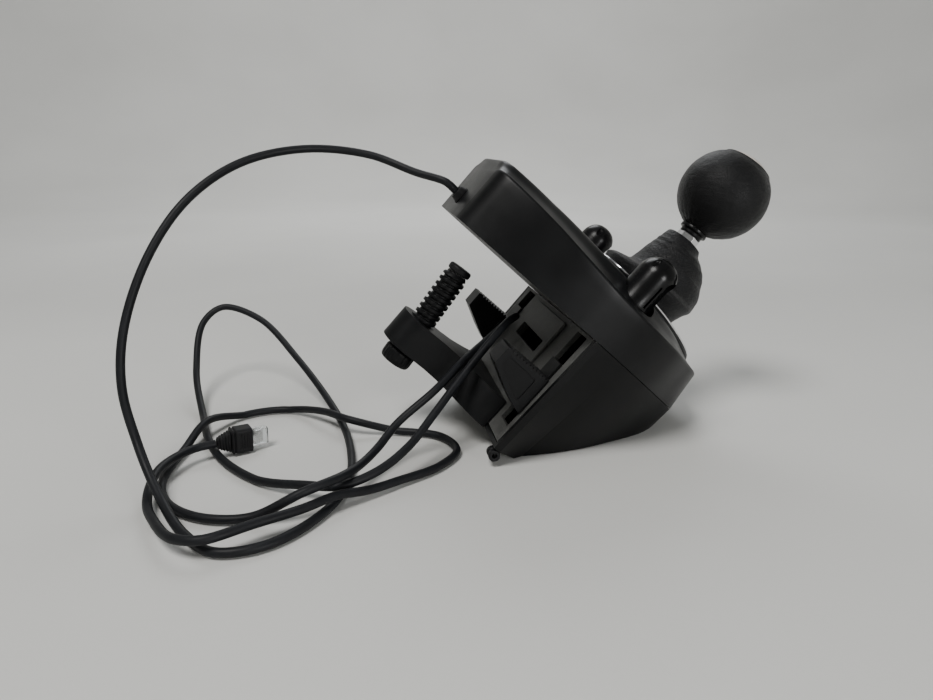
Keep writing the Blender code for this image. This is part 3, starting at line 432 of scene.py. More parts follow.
def circuit(name, colour):
    """Solder mask over copper: straight tracks show as a lighter green, with scattered bright pads."""
    mat, tree, shader, place = start(name)
    tracks = make(tree, "TexBrick", {"Vector": place}, Scale=150.0)
    tracks.inputs["Mortar Size"].default_value = 0.06
    tracks.inputs["Color1"].default_value = (0, 0, 0, 1)
    tracks.inputs["Color2"].default_value = (0, 0, 0, 1)
    tracks.inputs["Mortar"].default_value = (1, 1, 1, 1)
    pads = make(tree, "TexVoronoi", {"Vector": place}, Scale=320.0)
    pad = span(tree, pads.outputs["Distance"], 0.16, 0.20, 1.0, 0.0)
    tint = mixed(tree, tracks.outputs["Color"], colour, scaled(colour, 2.0))
    feed(tree, shader, Base_Color=mixed(tree, pad, tint, (0.60, 0.58, 0.50)))
    feed(tree, shader, Roughness=span(tree, pad, 0.0, 1.0, 0.35, 0.25))
    feed(tree, shader, Normal=bumped(tree, tracks.outputs["Color"], 0.4, 0.00005))
    return mat


def clear(name, colour):
    """Thin clear plastic with faint scratches."""
    mat, tree, shader, place = start(name)
    lines = spot_noise(tree, place, 400.0, 5.0, 0.6, (1.0, 6.0, 1.0))
    shader.inputs["Base Color"].default_value = (*colour, 1.0)
    shader.inputs["Transmission Weight"].default_value = 0.96
    shader.inputs["IOR"].default_value = 1.2
    feed(tree, shader, Roughness=span(tree, lines, 0.3, 0.7, 0.02, 0.16))
    feed(tree, shader, Normal=bumped(tree, lines, 0.08, 0.00003))
    return mat


MATERIALS = {name: maker(name, *values) for maker, name, *values in (
    (plastic, "deck_plastic", (0.0040, 0.0042, 0.0046), 0.36, 2400.0, 0.00004),
    (plastic, "casing_plastic", (0.0028, 0.0030, 0.0032), 0.46, 2400.0, 0.00005),
    (plastic, "cover_plastic", (0.0620, 0.0625, 0.0600), 0.50, 2200.0, 0.00004),
    (plastic, "knob_plastic", (0.0038, 0.0038, 0.0041), 0.26, 1500.0, 0.00001, 0.25),
    (plastic, "clamp_plastic", (0.0034, 0.0036, 0.0040), 0.45, 2200.0, 0.00004),
    (leather, "ball_leather", (0.0040, 0.0041, 0.0045), 0.42, 900.0, 0.00014),
    (leather, "boot_leather", (0.0048, 0.0049, 0.0054), 0.40, 800.0, 0.00022, 0.8),
    (plastic, "cap_plastic", (0.46, 0.43, 0.40), 0.34, 900.0, 0.00001, 0.0),
    (metal, "chrome", (0.82, 0.82, 0.84), 0.09),
    (metal, "steel", (0.55, 0.56, 0.58), 0.30, (1.0, 1.0, 14.0), 0.00002),
    (metal, "plug_steel", (0.72, 0.71, 0.69), 0.22, (1.0, 8.0, 1.0)),
    (rubber, "cable_rubber", (0.0080, 0.0086, 0.0102), 0.50),
    (rubber, "plug_rubber", (0.0080, 0.0080, 0.0088), 0.52),
    (plastic, "nylon", (0.0160, 0.0162, 0.0170), 0.46, 1900.0, 0.00002, 0.1),
    (circuit, "circuit", (0.010, 0.110, 0.045)),
    (clear, "clear_plastic", (0.92, 0.94, 0.95)),
)}


# ---------------------------------------------------------------- pieces

def smoothed(ob, sharp):
    """Shade an object smooth, but keep the edges sharper than sharp degrees."""
    ob.data.shade_smooth()
    ob.data.set_sharp_from_angle(angle=math.radians(sharp))


def mesh_object(name, bm, matrix, sharp=38.0):
    bmesh.ops.remove_doubles(bm, verts=bm.verts, dist=0.0005)
    bmesh.ops.recalc_face_normals(bm, faces=bm.faces)
    bm.transform(matrix)
    mesh = bpy.data.meshes.new(name)
    bm.to_mesh(mesh)
    bm.free()
    ob = bpy.data.objects.new(name, mesh)
    bpy.context.scene.collection.objects.link(ob)
    smoothed(ob, sharp)
    return ob


def carve(ob, tool, operation="DIFFERENCE"):
    """Take a tool object away from, or add it to, a piece at once; the tool is used up."""
    mod = ob.modifiers.new("cut", "BOOLEAN")
    mod.object = tool
    mod.operation = operation
    mod.solver = "EXACT"
    bake(ob)
    bpy.data.objects.remove(tool)


def cut(ob, bm, matrix, operation="DIFFERENCE"):
    carve(ob, mesh_object(ob.name + "_tool", bm, matrix), operation)


def bake(ob):
    """Turn the modifiers' result into the piece's own mesh."""
    graph = bpy.context.evaluated_depsgraph_get()
    graph.update()
    mesh = bpy.data.meshes.new_from_object(ob.evaluated_get(graph))
    old = ob.data
    ob.modifiers.clear()
    ob.data = mesh
    bpy.data.meshes.remove(old)


def edged(ob, width, segments=2, angle=32.0):
    """Round the sharp edges by width millimetres."""
    mod = ob.modifiers.new("edges", "BEVEL")
    mod.width = width * 0.001
    mod.segments = segments
    mod.limit_method = "ANGLE"
    mod.angle_limit = math.radians(angle)
    mod.harden_normals = True


def finish_piece(ob, slot, body=None, node=None):
    """Give a piece its finish and body; it stands for the CAD node of its name less _skin, or for node."""
    ob.data.materials.clear()
    ob.data.materials.append(MATERIALS[slot])
    if body:
        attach(ob, body)
    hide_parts(node or ob.name.removesuffix("_skin"))


def piece(node, bm, matrix, slot, body, sharp=38.0):
    """A piece that needs no cutting, in one step."""
    finish_piece(mesh_object(f"{node}_skin", bm, matrix, sharp), slot, body)


# ---------------------------------------------------------------- deck

def end_drop(y, radius=2.0):
    """How far the deck's top is lowered near its two ends, so that the ends are rounded."""
    d = min(y - DECK_WIDTHS[0][0], DECK_REAR_Y - y)
    if d >= radius:
        return 0.0
    return radius - math.sqrt(radius**2 - (radius - d) ** 2)


def deck_section(y, inset, floor_z):
    """Closed (x, z) outline of the deck across station y, pulled in by inset."""
    half = along(DECK_WIDTHS, y) - inset
    drop = end_drop(y) if inset == 0 else 0.0
    rim = along(RIM_HEIGHTS, y) - inset - drop
    crest = max(along(CREST_HEIGHTS, y) - inset - drop, rim + 0.3)
    rise = crest - rim
    slope = min(17.0, 8.0 + 0.3 * (DECK_REAR_Y - y), half * 0.5)
    edge = 1.9
    side = [(half, floor_z), (half, floor_z + 8.0), (half, rim - edge - 4.0)]
    for k in range(6):
        a = math.radians(90.0 * k / 5)
        side.append((half - edge + edge * math.cos(a), rim - edge + edge * math.sin(a)))
    shoulder = [(0.0, 0.0), (0.5, 0.36), (1.0, 0.9), (1.4, 1.0)]
    for k in range(1, 13):
        s = 1.4 * k / 12
        x = half - edge - (slope - edge) * s if s <= 1.0 else half - slope * s
        side.append((max(x, 1.5 * (1.0 - k / 13)), rim + rise * along(shoulder, s)))
    return side + [(-x, z) for x, z in reversed(side)]


def deck_stations(inset, step):
    first, last = DECK_WIDTHS[0][0] + inset, DECK_REAR_Y - inset
    near = [0.0, 0.12, 0.35, 0.75, 1.3, 2.0] if inset == 0 else [0.0, 1.0]
    body = spread(first + near[-1], CREASE_Y, step) + spread(CREASE_Y, last - near[-1], step)[1:]
    return [first + d for d in near[:-1]] + body + [last - d for d in reversed(near[:-1])]


def nose_lean(y, z):
    """How far the nose leans out at station y and height z: nothing at the rim, most at the underside."""
    ahead = (NOSE_START - y) / (NOSE_START - DECK_WIDTHS[0][0])
    return NOSE_DRAFT * min(max(ahead, 0.0), 1.0) * max(1.0 - z / RIM_HEIGHTS[0][1], 0.0)


def deck_solid(inset, floor_z, step):
    """Deck body; the outside leans out at the nose, a hollow stays upright there."""
    rings = []
    for y in deck_stations(inset, step):
        section = deck_section(y, inset, floor_z)
        rings.append([(x, y if inset else y - nose_lean(y, z), z) for x, z in section])
    return loft(rings, stepped=True)


def rounded_slot(half, low, high, radius):
    """Upright four-sided outline, centred on x = 0, with rounded corners."""
    return fillet([(-half, low), (half, low), (half, high), (-half, high)], radius)


def build_deck():
    deck = mesh_object("deck_shell_skin", deck_solid(0.0, 0.0, 1.6), SHIFTER)
    hollow = mesh_object("hollow", deck_solid(BODY_SKIN, -5.0, 4.0), SHIFTER)
    for _, sx in SIDES:
        cut(hollow, moved(rod(12.8, 12.0, 45.0, 48), sx * KNOB_X, KNOB_Y, 0), SHIFTER)
    carve(deck, hollow)
    for _, sx in SIDES:
        pocket = [(KNOB_R + 0.8, 23.6), (KNOB_R + 0.8, 60.0)]
        cut(deck, moved(lathe(pocket, 64), sx * KNOB_X, KNOB_Y, 0), SHIFTER)
        cut(deck, moved(rod(3.2, 5.0, 30.0, 32), sx * KNOB_X, KNOB_Y, 0), SHIFTER)
    cut(deck, moved(rod(OPENING_R, 12.0, 60.0, 96), 0, OPENING_Y, 0), SHIFTER)
    cut(deck, front_prism(rounded_slot(4.5, 5.5, 14.5, 2.0), 70.0, 90.0), SHIFTER)
    smoothed(deck, 38)
    finish_piece(deck, "deck_plastic", "housing")


# ---------------------------------------------------------------- lower casing

def floor_face_y(z):
    """y of the flat lower front face at height z: the face that lies on the floor."""
    return (FLOOR_Z - z * math.cos(TILT)) / math.sin(TILT)


def casing_outline(z, inset, back, step):
    depth = min(max(z / WALL_LOW_Z, -0.2), 1.1)
    rear = WALL_HALF_TOP + (WALL_HALF_LOW - WALL_HALF_TOP) * depth - inset
    squeeze = 1.0 + (NOSE_SCALE_LOW - 1.0) * max(depth, 0.0)
    tip = DECK_WIDTHS[0][0]
    stations = [tip, tip + 0.4, tip + 1.0] + spread(tip + 2.0, CREASE_Y, step)
    stations += spread(CREASE_Y, -19.5, step)[1:]
    nose = [(along(DECK_WIDTHS, y) * squeeze - inset, y - nose_lean(y, 0.0) + inset) for y in stations]
    right = nose + [(rear, -4.0), (rear, back)]
    return [(-x, y) for x, y in reversed(right)] + right


def casing_solid(inset, top, back, step):
    levels = [WALL_LOW_Z + inset, -50.0, -30.0, -12.0, top]
    return loft([[(x, y, z) for x, y in casing_outline(z, inset, back, step)] for z in levels])


def floor_side(shift):
    """Big block on the outer side of the lower front face, shifted inwards by shift."""
    lift = shift / math.sin(TILT)
    top, low = 20.0, -110.0
    outline = [(floor_face_y(top) + lift, top), (floor_face_y(low) + lift, low), (-200.0, low), (-200.0, top)]
    return side_prism(outline, -90.0, 90.0)


def build_casing():
    casing = mesh_object("lower_casing_skin", casing_solid(0.0, -GAP, COVER_BACK, 2.4), SHIFTER)
    cut(casing, floor_side(0.0), SHIFTER)
    hollow = mesh_object("hollow", casing_solid(BODY_SKIN, 5.0, 5.0, 4.0), SHIFTER)
    cut(hollow, floor_side(BODY_SKIN), SHIFTER)
    for x, y in POST_PLACES:
        for sx in (-1, 1):
            cut(hollow, moved(rod(3.6, -90.0, -14.3, 24), sx * x, y, 0), SHIFTER)
    carve(casing, hollow)
    smoothed(casing, 13.8)
    edged(casing, 0.4, 2, 13.8)
    finish_piece(casing, "casing_plastic", "housing")


def wall_half(z):
    return WALL_HALF_TOP + (WALL_HALF_LOW - WALL_HALF_TOP) * z / WALL_LOW_Z


def bolt_hole(sx):
    """Hole for one of the two bolts that join the bracket to the wall."""
    return moved(turned_to(rod(ARM_BOLT_HOLE, -9.0, 7.0, 24), "Y"), sx * ARM_BOLT_X, 0, ARM_BOLT_Z)


def build_wall():
    """Back cover with its jaw slots, a centre slot and two bolt holes, and the raised centre panel with its slot.
    """
    inset = BODY_SKIN + GAP
    low, top = WALL_LOW_Z + inset, -GAP
    outline = [(wall_half(top) - inset, top), (wall_half(low) - inset, low),
               (-wall_half(low) + inset, low), (-wall_half(top) + inset, top)]
    sheet = front_prism(outline, COVER_BACK - COVER_THICK, COVER_BACK)
    cover = mesh_object("back_cover_skin", sheet, SHIFTER)
    for _, sx in SIDES:
        x0, x1 = sorted((sx * SLOT_X[0], sx * SLOT_X[1]))
        cut(cover, box(x0, x1, -9.0, 3.0, -58.0, -2.0), SHIFTER)
    low, top = PANEL_SLOT_Z
    cut(cover, box(-PANEL_SLOT_X, PANEL_SLOT_X, -9.0, 3.0, low, top), SHIFTER)
    for sx in (-1, 1):
        cut(cover, bolt_hole(sx), SHIFTER)
    edged(cover, 0.3, 2)
    finish_piece(cover, "cover_plastic", "housing")
    panel = front_prism(rounded_slot(26.0, -47.0, -3.0, 1.5), 0.0, 1.5)
    face = mesh_object("centre_panel_skin", panel, SHIFTER)
    cut(face, front_prism(rounded_slot(PANEL_SLOT_X, low, top, 1.2), -9.0, 3.0), SHIFTER)
    edged(face, 0.35, 3)
    finish_piece(face, "cover_plastic", "housing")


def build_corner_feet():
    for name, sx in SIDES:
        waist = [(1.2, -3.5), (2.9, -3.5), (2.9, -0.8), (2.2, 0.0), (2.9, 0.8), (2.9, 3.5), (1.2, 3.5)]
        profile = fillet(waist, 0.6)
        foot = moved(turned_to(lathe(profile, 32, closed=True), "X"), sx * 55.5, -4.0, WALL_LOW_Z - 3.2)
        piece(f"corner_foot_{name}", foot, SHIFTER, "plug_rubber", "housing")


# ---------------------------------------------------------------- boot surround

def build_bezel():
    """Plate round the boot: two soft steps at its edge, following the deck's crest."""
    rings = []
    first, last = BEZEL_WIDTHS[0][0], BEZEL_WIDTHS[-1][0]
    edge = [(0.0, 0.0), (0.0, 0.7), (-0.15, 0.95), (-0.7, 1.05),
            (-0.85, 1.2), (-0.9, 1.6), (-1.15, 1.9), (-1.6, BEZEL_THICK)]
    for y in [first, first + 0.3, first + 0.9] + spread(first + 1.6, last - 0.9, 1.8) + [last - 0.5, last]:
        half, crest = along(BEZEL_WIDTHS, y), along(CREST_HEIGHTS, y) + GAP
        right = [(half + dx, y, crest + dz) for dx, dz in edge]
        right += [(half * k, y, crest + BEZEL_THICK) for k in (0.72, 0.4)]
        rings.append(right + [(-x, yy, z) for x, yy, z in reversed(right)])
    plate = mesh_object("boot_bezel_skin", loft(rings), SHIFTER, 50.0)
    hole = rod(25.6, 10.0, 60.0, 96)
    cut(plate, moved(hole, 0, OPENING_Y, 0), SHIFTER)
    finish_piece(plate, "deck_plastic", "housing")
    middle, reach = (first + last) / 2, last - (first + last) / 2
    path = []
    for y in spread(first, last, 1.2):
        pulled = middle + (y - middle) * (1.0 - 1.9 / reach)
        height = along(CREST_HEIGHTS, pulled) + GAP + BEZEL_THICK + 0.55
        path.append(Vector((along(BEZEL_WIDTHS, y) - 1.9, pulled, height)))
    path += [Vector((-p.x, p.y, p.z)) for p in reversed(path)]
    bead = ((0.55, -0.3), (0.6, 0.05), (0.4, 0.4), (0.0, 0.55), (-0.4, 0.4), (-0.6, 0.05), (-0.55, -0.3))
    rings = []
    for i, p in enumerate(path):
        way = (path[(i + 1) % len(path)] - path[i - 1]).normalized()
        out = way.cross(Vector((0, 0, 1))).normalized()
        rings.append([p + out * a + Vector((0, 0, b)) for a, b in bead])
    piece("chrome_trim", loft(rings, closed=True), SHIFTER, "chrome", "housing", 60.0)


# ---------------------------------------------------------------- leather boot

BOOT_RINGS = [  # (z, rear y, front y) of the boot's outer surface, from its hem up to its neck
    (28.0, -4.4, -52.6), (33.0, -3.9, -53.2), (36.5, -3.4, -53.8), (39.5, -2.0, -54.8),
    (42.0, -1.6, -55.9), (43.7, -3.0, -56.9), (44.9, -6.8, -57.6), (46.2, -11.0, -58.0),
    (47.8, -13.6, -58.0), (51.0, -14.6, -57.3), (54.0, -15.2, -56.0), (57.5, -15.6, -54.4),
    (61.0, -16.2, -52.2), (64.0, -16.7, -49.6), (66.5, -17.1, -46.6), (68.6, -17.6, -43.0),
    (70.2, -18.0, -40.6), (71.6, -18.4, -39.8), (72.3, -18.9, -39.4)]
BOOT_GIMBAL_Z, BOOT_HUB_Z = 50.0, 57.5
BOOT_LOW, BOOT_TOP = BOOT_RINGS[0][0], BOOT_RINGS[-1][0]
BOOT_SIDES = 120


def boot_point(z, angle):
    """Point on the boot's outer surface: folds across the front bulge, fine wrinkles below, a neck seam."""
    rear = along([(r[0], r[1]) for r in BOOT_RINGS], z)
    front = along([(r[0], r[2]) for r in BOOT_RINGS], z)
    centre, radius = (rear + front) / 2, (rear - front) / 2
    share = (z - BOOT_LOW) / (BOOT_TOP - BOOT_LOW)
    facing = 0.5 - 0.5 * math.sin(angle)
    sag = math.sin(z * 0.62 + 1.7 * math.cos(angle) + 0.9 * math.sin(2 * angle))
    fold = 0.40 * facing * sag * math.exp(-((share - 0.62) / 0.22) ** 2)
    cross = math.sin(9 * angle + 0.55 * z + 1.3 * math.sin(3 * angle))
    wrinkle = 0.16 * cross * math.exp(-((share - 0.38) / 0.12) ** 2)
    neck = 0.16 * math.sin(z * 1.9 + 2.2 * math.sin(angle)) * math.exp(-((share - 0.86) / 0.10) ** 2)
    lump = 0.40 * noise.noise(Vector((math.cos(angle) * 1.5, math.sin(angle) * 1.5, z * 0.11)))
    gap = angle - math.pi * 1.06
    fade = min(1.0, share * 2)
    seam = (0.22 * math.exp(-(gap / 0.09) ** 2) - 0.55 * math.exp(-(gap / 0.025) ** 2)) * fade
    stitch = -0.18 * math.exp(-((abs(gap) - 0.10) / 0.018) ** 2) * max(0.0, math.sin(z * 3.4)) * fade
    soft = min(1.0, max(0.0, (share - 0.15) * 4)) * min(1.0, (1.0 - share) * 9)
    r = radius + (fold + wrinkle + neck + lump) * soft + seam + stitch
    return Vector((r * math.cos(angle), centre + r * math.sin(angle), z))


def boot_band(z0, z1, step, ends):
    """One band of the boot's skin as a thin closed shell; ends gives extra rings that close it inside."""
    outer = [[boot_point(z, a) for a in turns(BOOT_SIDES)] for z in spread(z0, z1, step)]
    inner = []
    for ring in reversed(outer):
        middle = sum(ring, Vector()) / BOOT_SIDES
        inner.append([p + (middle - p).normalized() * 1.1 for p in ring])
    return loft(outer + ends + inner, closed=True)


def build_boot():
    neck_y = -29.3
    inside = ((9.6, 72.5), (8.6, 72.4), (6.2, 71.9), (4.9, 71.4))
    throat = [circle(r, BOOT_SIDES, z, (0.0, neck_y)) for r, z in inside]
    bands = (("leather_boot_lower", BOOT_LOW, BOOT_GIMBAL_Z, [], "housing", "gimbal", 40.0),
             ("leather_boot_middle", BOOT_GIMBAL_Z, BOOT_HUB_Z, [], "gimbal", "hub", BOOT_GIMBAL_Z),
             ("leather_boot_neck", BOOT_HUB_Z, BOOT_TOP, throat, "hub", "lever", BOOT_HUB_Z))
    for name, z0, z1, ends, low, high, turn_z in bands:
        ob = mesh_object(name, boot_band(z0, z1, 0.55, ends), SHIFTER, 70.0)
        finish_piece(ob, "boot_leather", node="leather_boot")
        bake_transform(ob)


# ---------------------------------------------------------------- lever

def build_lever():
    top = BALL_Z + 8.0
    shaft = fillet([(0.1, 14.0), (SHAFT_R, 14.0), (SHAFT_R, 43.5), (6.6, 43.9), (6.6, 45.6), (SHAFT_R, 46.0),
                    (SHAFT_R, top), (0.1, top)], 0.4, closed=False, steps=2)
    piece("lever_shaft", lathe(shaft, 48), LEVER, "chrome", "lever")
    nut = mesh_object("lever_nut_skin", rod(6.4, 69.4, 72.3, 6), LEVER)
    cut(nut, lathe([(9.0, 66.0), (9.0, 71.4), (5.6, 74.0), (9.0, 74.0)], 48, closed=True), LEVER)
    cut(nut, rod(SHAFT_R + 0.35, 60.0, 80.0, 32), LEVER)
    edged(nut, 0.15, 2)
    finish_piece(nut, "chrome", "lever")
    steps = fillet([(4.35, 72.6), (6.3, 72.6), (6.3, 74.7), (7.8, 74.9), (7.8, 76.8), (4.35, 76.8)], 0.5)
    piece("lever_collar", lathe(steps, 48, closed=True), LEVER, "knob_plastic", "lever")


def build_push_spring():
    """Coil under the shaft's flange."""
    points = []
    for i in range(241):
        a = 10 * math.pi * i / 240
        points.append(Vector((5.4 * math.cos(a), 5.4 * math.sin(a), 29.1 + 13.7 * i / 240)))
    ob = mesh_object("push_spring_skin", tube(points, 0.5, 12), LEVER, 60.0)
    finish_piece(ob, "steel")
    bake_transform(ob)


def build_ball():
    """Leather-covered ball: creases gather towards the collar and a shallow hem rings the cap."""
    low, high = math.acos(7.0 / BALL_R), math.acos(CAP_R / BALL_R)
    count = 160
    rings = []
    for a in spread(-low, high, 0.022):
        ring = []
        near_low = math.exp(-((a + low) / 0.5) ** 2)
        near_cap = math.exp(-((a - high + 0.10) / 0.07) ** 2)
        for b in turns(count):
            way = Vector((math.cos(a) * math.cos(b), math.cos(a) * math.sin(b), math.sin(a)))
            gather = 0.08 * near_low * math.sin(19 * b + 2.0 * math.sin(3 * b))
            lines = noise.noise(Vector((5 * math.cos(b), 5 * math.sin(b), a * 9)))
            crease = -0.22 * near_low * max(0.0, lines)
            wrinkle = 0.10 * noise.noise(way * 7.0) + 0.05 * noise.noise(way * 17.0)
            hem = -0.16 * near_cap
            r = BALL_R - 0.12 + gather + crease + wrinkle + hem
            ring.append((way.x * r, way.y * r, BALL_Z + way.z * r))
        rings.append(ring)
    top = BALL_Z + BALL_R * math.sin(high)
    seat = top - 2.4
    base = BALL_Z - BALL_R * math.sin(low)
    inside = [(CAP_R + 0.2, top - 0.1), (CAP_R - 0.4, top - 0.5), (CAP_R - 0.5, seat), (BALL_BORE, seat),
              (BALL_BORE, base)]
    rings += [circle(r, count, z) for r, z in inside]
    piece("ball_knob", loft(rings, closed=True), LEVER, "ball_leather", "lever", 60.0)
    r, z = CAP_R - 0.9, seat + GAP
    dome = [(r - 0.6, z), (r, z + 0.5), (r, seat + 2.3), (r - 0.25, seat + 2.9), (r - 0.9, seat + 3.3)]
    for k in range(1, 12):
        a = k / 12
        dome.append(((r - 0.9) * (1 - a), seat + 3.3 + 3.3 * (1 - (1 - a) ** 2)))
    cap = lathe([(0.02, z)] + dome + [(0.02, seat + 6.6)], 96)
    piece("knob_cap", cap, LEVER, "cap_plastic", "lever", 50.0)


# ---------------------------------------------------------------- side clamps

def scoop(azimuth_deg):
    """Oval hollow that leans with the knob's dome, long along the dome's curve."""
    sides = [(math.sin(math.pi * k / 20), -math.cos(math.pi * k / 20)) for k in range(1, 20)]
    bm = lathe([(0.02, -1.0)] + sides + [(0.02, 1.0)], 40)
    bm.transform(Matrix.Rotation(math.radians(azimuth_deg), 4, "Z") @ Matrix.Translation((8.75, 0, 45.3))
                 @ Matrix.Rotation(math.radians(-36), 4, "Y") @ Matrix.Diagonal((1.45, 1.55, 3.2, 1.0)))
    return bm


def build_clamp_knob(name):
    """Tall domed knob: an arched recess with two grooves, long slots beside it, and scoops in the dome."""
    axes = knob_axes(name) @ Matrix.Rotation(math.radians(KNOB_TURNS[name]), 4, "Z")
    profile = [(0.05, 24.1), (9.9, 24.1), (10.2, 24.4), (10.25, 25.2), (KNOB_R, 26.6), (KNOB_R, 34.0),
               (KNOB_R, 40.5)]
    for k in range(1, 13):
        a = math.radians(90.0 * k / 12)
        profile.append((10.0 * math.cos(a) ** 0.82 if k < 12 else 0.05, 40.5 + 9.7 * math.sin(a) ** 1.05))
    knob = mesh_object(f"clamp_knob_{name}_skin", lathe(profile, 96), axes, 50.0)
    half = 6.4
    crown = [math.pi * k / 20 for k in range(1, 20)]
    arch = [(half, 22.0), (half, 38.5)] + [(half * math.cos(a), 38.5 + 5.6 * math.sin(a)) for a in crown]
    arch += [(-half, 38.5), (-half, 22.0)]
    cut(knob, front_prism(arch, -14.0, -6.4), axes)
    for x in (-2.6, 2.6):
        groove = fillet([(x - 0.6, 20.0), (x + 0.6, 20.0), (x + 0.6, 38.0), (x - 0.6, 38.0)], 0.5)
        cut(knob, front_prism(groove, -12.0, -5.6), axes)
    for azimuth in (70, 160, 250, 340):
        cut(knob, scoop(azimuth), axes)
    for azimuth in (222, 318):
        bm = box(9.1, 12.0, -0.55, 0.55, 25.6, 38.0)
        bm.transform(Matrix.Rotation(math.radians(azimuth), 4, "Z"))
        cut(knob, bm, axes)
    cut(knob, rod(SCREW_HOLE, 20.0, 34.0, 32), axes)
    edged(knob, 0.3, 2, 40.0)
    finish_piece(knob, "knob_plastic", f"{name}_knob")


def jaw_outline():
    """(y, z) outline of the toothed wedge, its flat top level with the deck."""
    start, step = 2.0, (JAW_REACH - 3.5) / JAW_TEETH
    edge = [(0.6, JAW_TOP)]
    for i in range(JAW_TEETH):
        y = start + step * i
        edge += [(y, JAW_TOP - 1.3), (y + step * 0.45, JAW_TOP - 0.15), (y + step * 0.62, JAW_TOP)]
    tip = [(JAW_REACH, JAW_TOP - 0.5), (JAW_REACH, JAW_TOP - 10.0)]
    return edge + tip + [(13.0, JAW_TOP - 17.0), (5.0, JAW_TOP - 20.5), (0.6, JAW_TOP - 21.5)]


def build_jaw(name, sx):
    """Toothed wedge with recessed flanks, its carriage in the wall's slot, and the block on the screw."""
    lift = LIFT[name]
    x0, x1 = sorted((sx * (SLOT_X[0] + GAP), sx * (SLOT_X[1] + 2.0)))
    outline = [(y, z + lift) for y, z in jaw_outline()]
    jaw = mesh_object(f"clamp_jaw_{name}_skin", side_prism(outline, x0, x1), SHIFTER)
    top = JAW_TOP + lift
    pocket = [(5.5, top - 4.2), (JAW_REACH - 3.0, top - 3.4), (JAW_REACH - 3.0, top - 8.4),
              (12.5, top - 14.6), (5.5, top - 17.4)]
    for face, way in ((x0, -1), (x1, 1)):
        a, b = sorted((face + way * 2.0, face - way * 0.7))
        cut(jaw, side_prism(fillet(pocket, 1.5), a, b), SHIFTER)
    a, b = sorted((sx * (SLOT_X[0] + GAP), sx * (SLOT_X[1] - GAP)))
    carriage = box(a, b, -COVER_THICK - 1.0, 0.9, top - 21.0, top + 9.0)
    cut(jaw, carriage, SHIFTER, "UNION")
    a, b = sorted((sx * (KNOB_X - 5.0), sx * (KNOB_X + 3.9)))
    block = box(a, b, -12.8, -COVER_THICK - 0.6, top - JAW_BLOCK, top)
    cut(jaw, block, SHIFTER, "UNION")
    bore = moved(rod(SCREW_HOLE, -60.0, 0.0, 32), sx * KNOB_X, KNOB_Y, 0)
    cut(jaw, bore, SHIFTER)
    edged(jaw, 0.22, 2, 30.0)
    finish_piece(jaw, "clamp_plastic", f"{name}_jaw")


# ---------------------------------------------------------------- lower bracket and its screw

def arm_outline(inset=0.0):
    """Plan of the bracket: wide at the wall, narrow arm, round boss at its end."""
    boss = [((13.0 - inset) * math.cos(a), ARM_SCREW_Y + (13.0 - inset) * math.sin(a))
            for a in [math.pi * i / 32 for i in range(33)]]
    knots = [(GAP, 36.0), (3.0, 35.8), (8.0, 34.0), (19.0, 24.0), (29.0, 16.0), (37.0, 13.0)]
    left = [(-along(knots, y) + inset, y) for y in reversed(spread(GAP, 37.0, 2.6))]
    right = [(-x, y) for x, y in reversed(left)]
    return boss + left + right


def build_arm():
    arm = mesh_object("bracket_arm_skin", prism(arm_outline(), ARM_LOW, ARM_TOP), SHIFTER)
    hollow = [(x * 0.72, 16 + (y - 16) * 0.62) for x, y in arm_outline()]
    cut(arm, prism([(x, y) for x, y in hollow if y < 36.0], ARM_LOW - 5.0, ARM_TOP - 5.0), SHIFTER)
    for sx in (-1, 1):
        cut(arm, bolt_hole(sx), SHIFTER)
    cut(arm, rod(THREAD_R + 0.5, -30.0, 30.0, 48), THRUST)
    edged(arm, 0.9, 3, 40.0)
    finish_piece(arm, "clamp_plastic", "housing")


def build_thrust():
    """Coarse screw with flat-topped ribs, its round ribbed knob, and the smooth pad on its tip."""
    steps, rows = 48, int(49.0 / 0.28)
    rings = []
    for k in range(rows + 1):
        z = -9.0 + 49.0 * k / rows
        ring = []
        for a in turns(steps):
            phase = (z / THREAD_PITCH - a / (2 * math.pi)) % 1.0
            ridge = min(1.0, max(0.0, (0.35 - abs(phase - 0.5)) / 0.10))
            taper = min(1.0, (40.0 - z) / 2.5, (z + 9.0) / 1.0)
            r = THREAD_R - 1.45 + 1.45 * ridge * max(taper, 0.0)
            ring.append((r * math.cos(a), r * math.sin(a), z))
        rings.append(ring)
    piece("bracket_screw", loft(rings), THRUST, "clamp_plastic", "thrust_screw", 55.0)
    rings = []
    profile = [(0.3, -17.5), (7.9, -17.5), (8.6, -15.5), (8.6, -10.6), (7.9, -9.5), (0.3, -9.4)]
    for r, z in fillet(profile, 0.9, closed=False):
        ring = []
        for a in turns(120):
            grip = 0.28 * max(0.0, math.cos(20 * a)) if r > 8.0 else 0.0
            ring.append(((r - grip) * math.cos(a), (r - grip) * math.sin(a), z))
        rings.append(ring)
    piece("bracket_knob", loft(rings), THRUST, "clamp_plastic", "thrust_screw", 50.0)
    pad = [(0.3, 40.4), (5.9, 40.4), (6.4, 41.2), (6.4, 43.2), (5.8, 44.0), (0.3, 44.0)]
    pad = fillet(pad, 0.5, closed=False)
    piece("screw_pad", lathe(pad, 64), THRUST, "plug_rubber", "pad", 50.0)


# ---------------------------------------------------------------- cable and plug

def tilted(x, y, z):
    """Place given in the shifter's own axes, in floor axes, in millimetres."""
    return tuple((SHIFTER @ Vector((x, y, z))) * 1000.0)


PLUG_START = (-27.0, 178.0, FLOOR_Z + 7.5)
PLUG_WAY = (0.45, -1.0, -0.05)


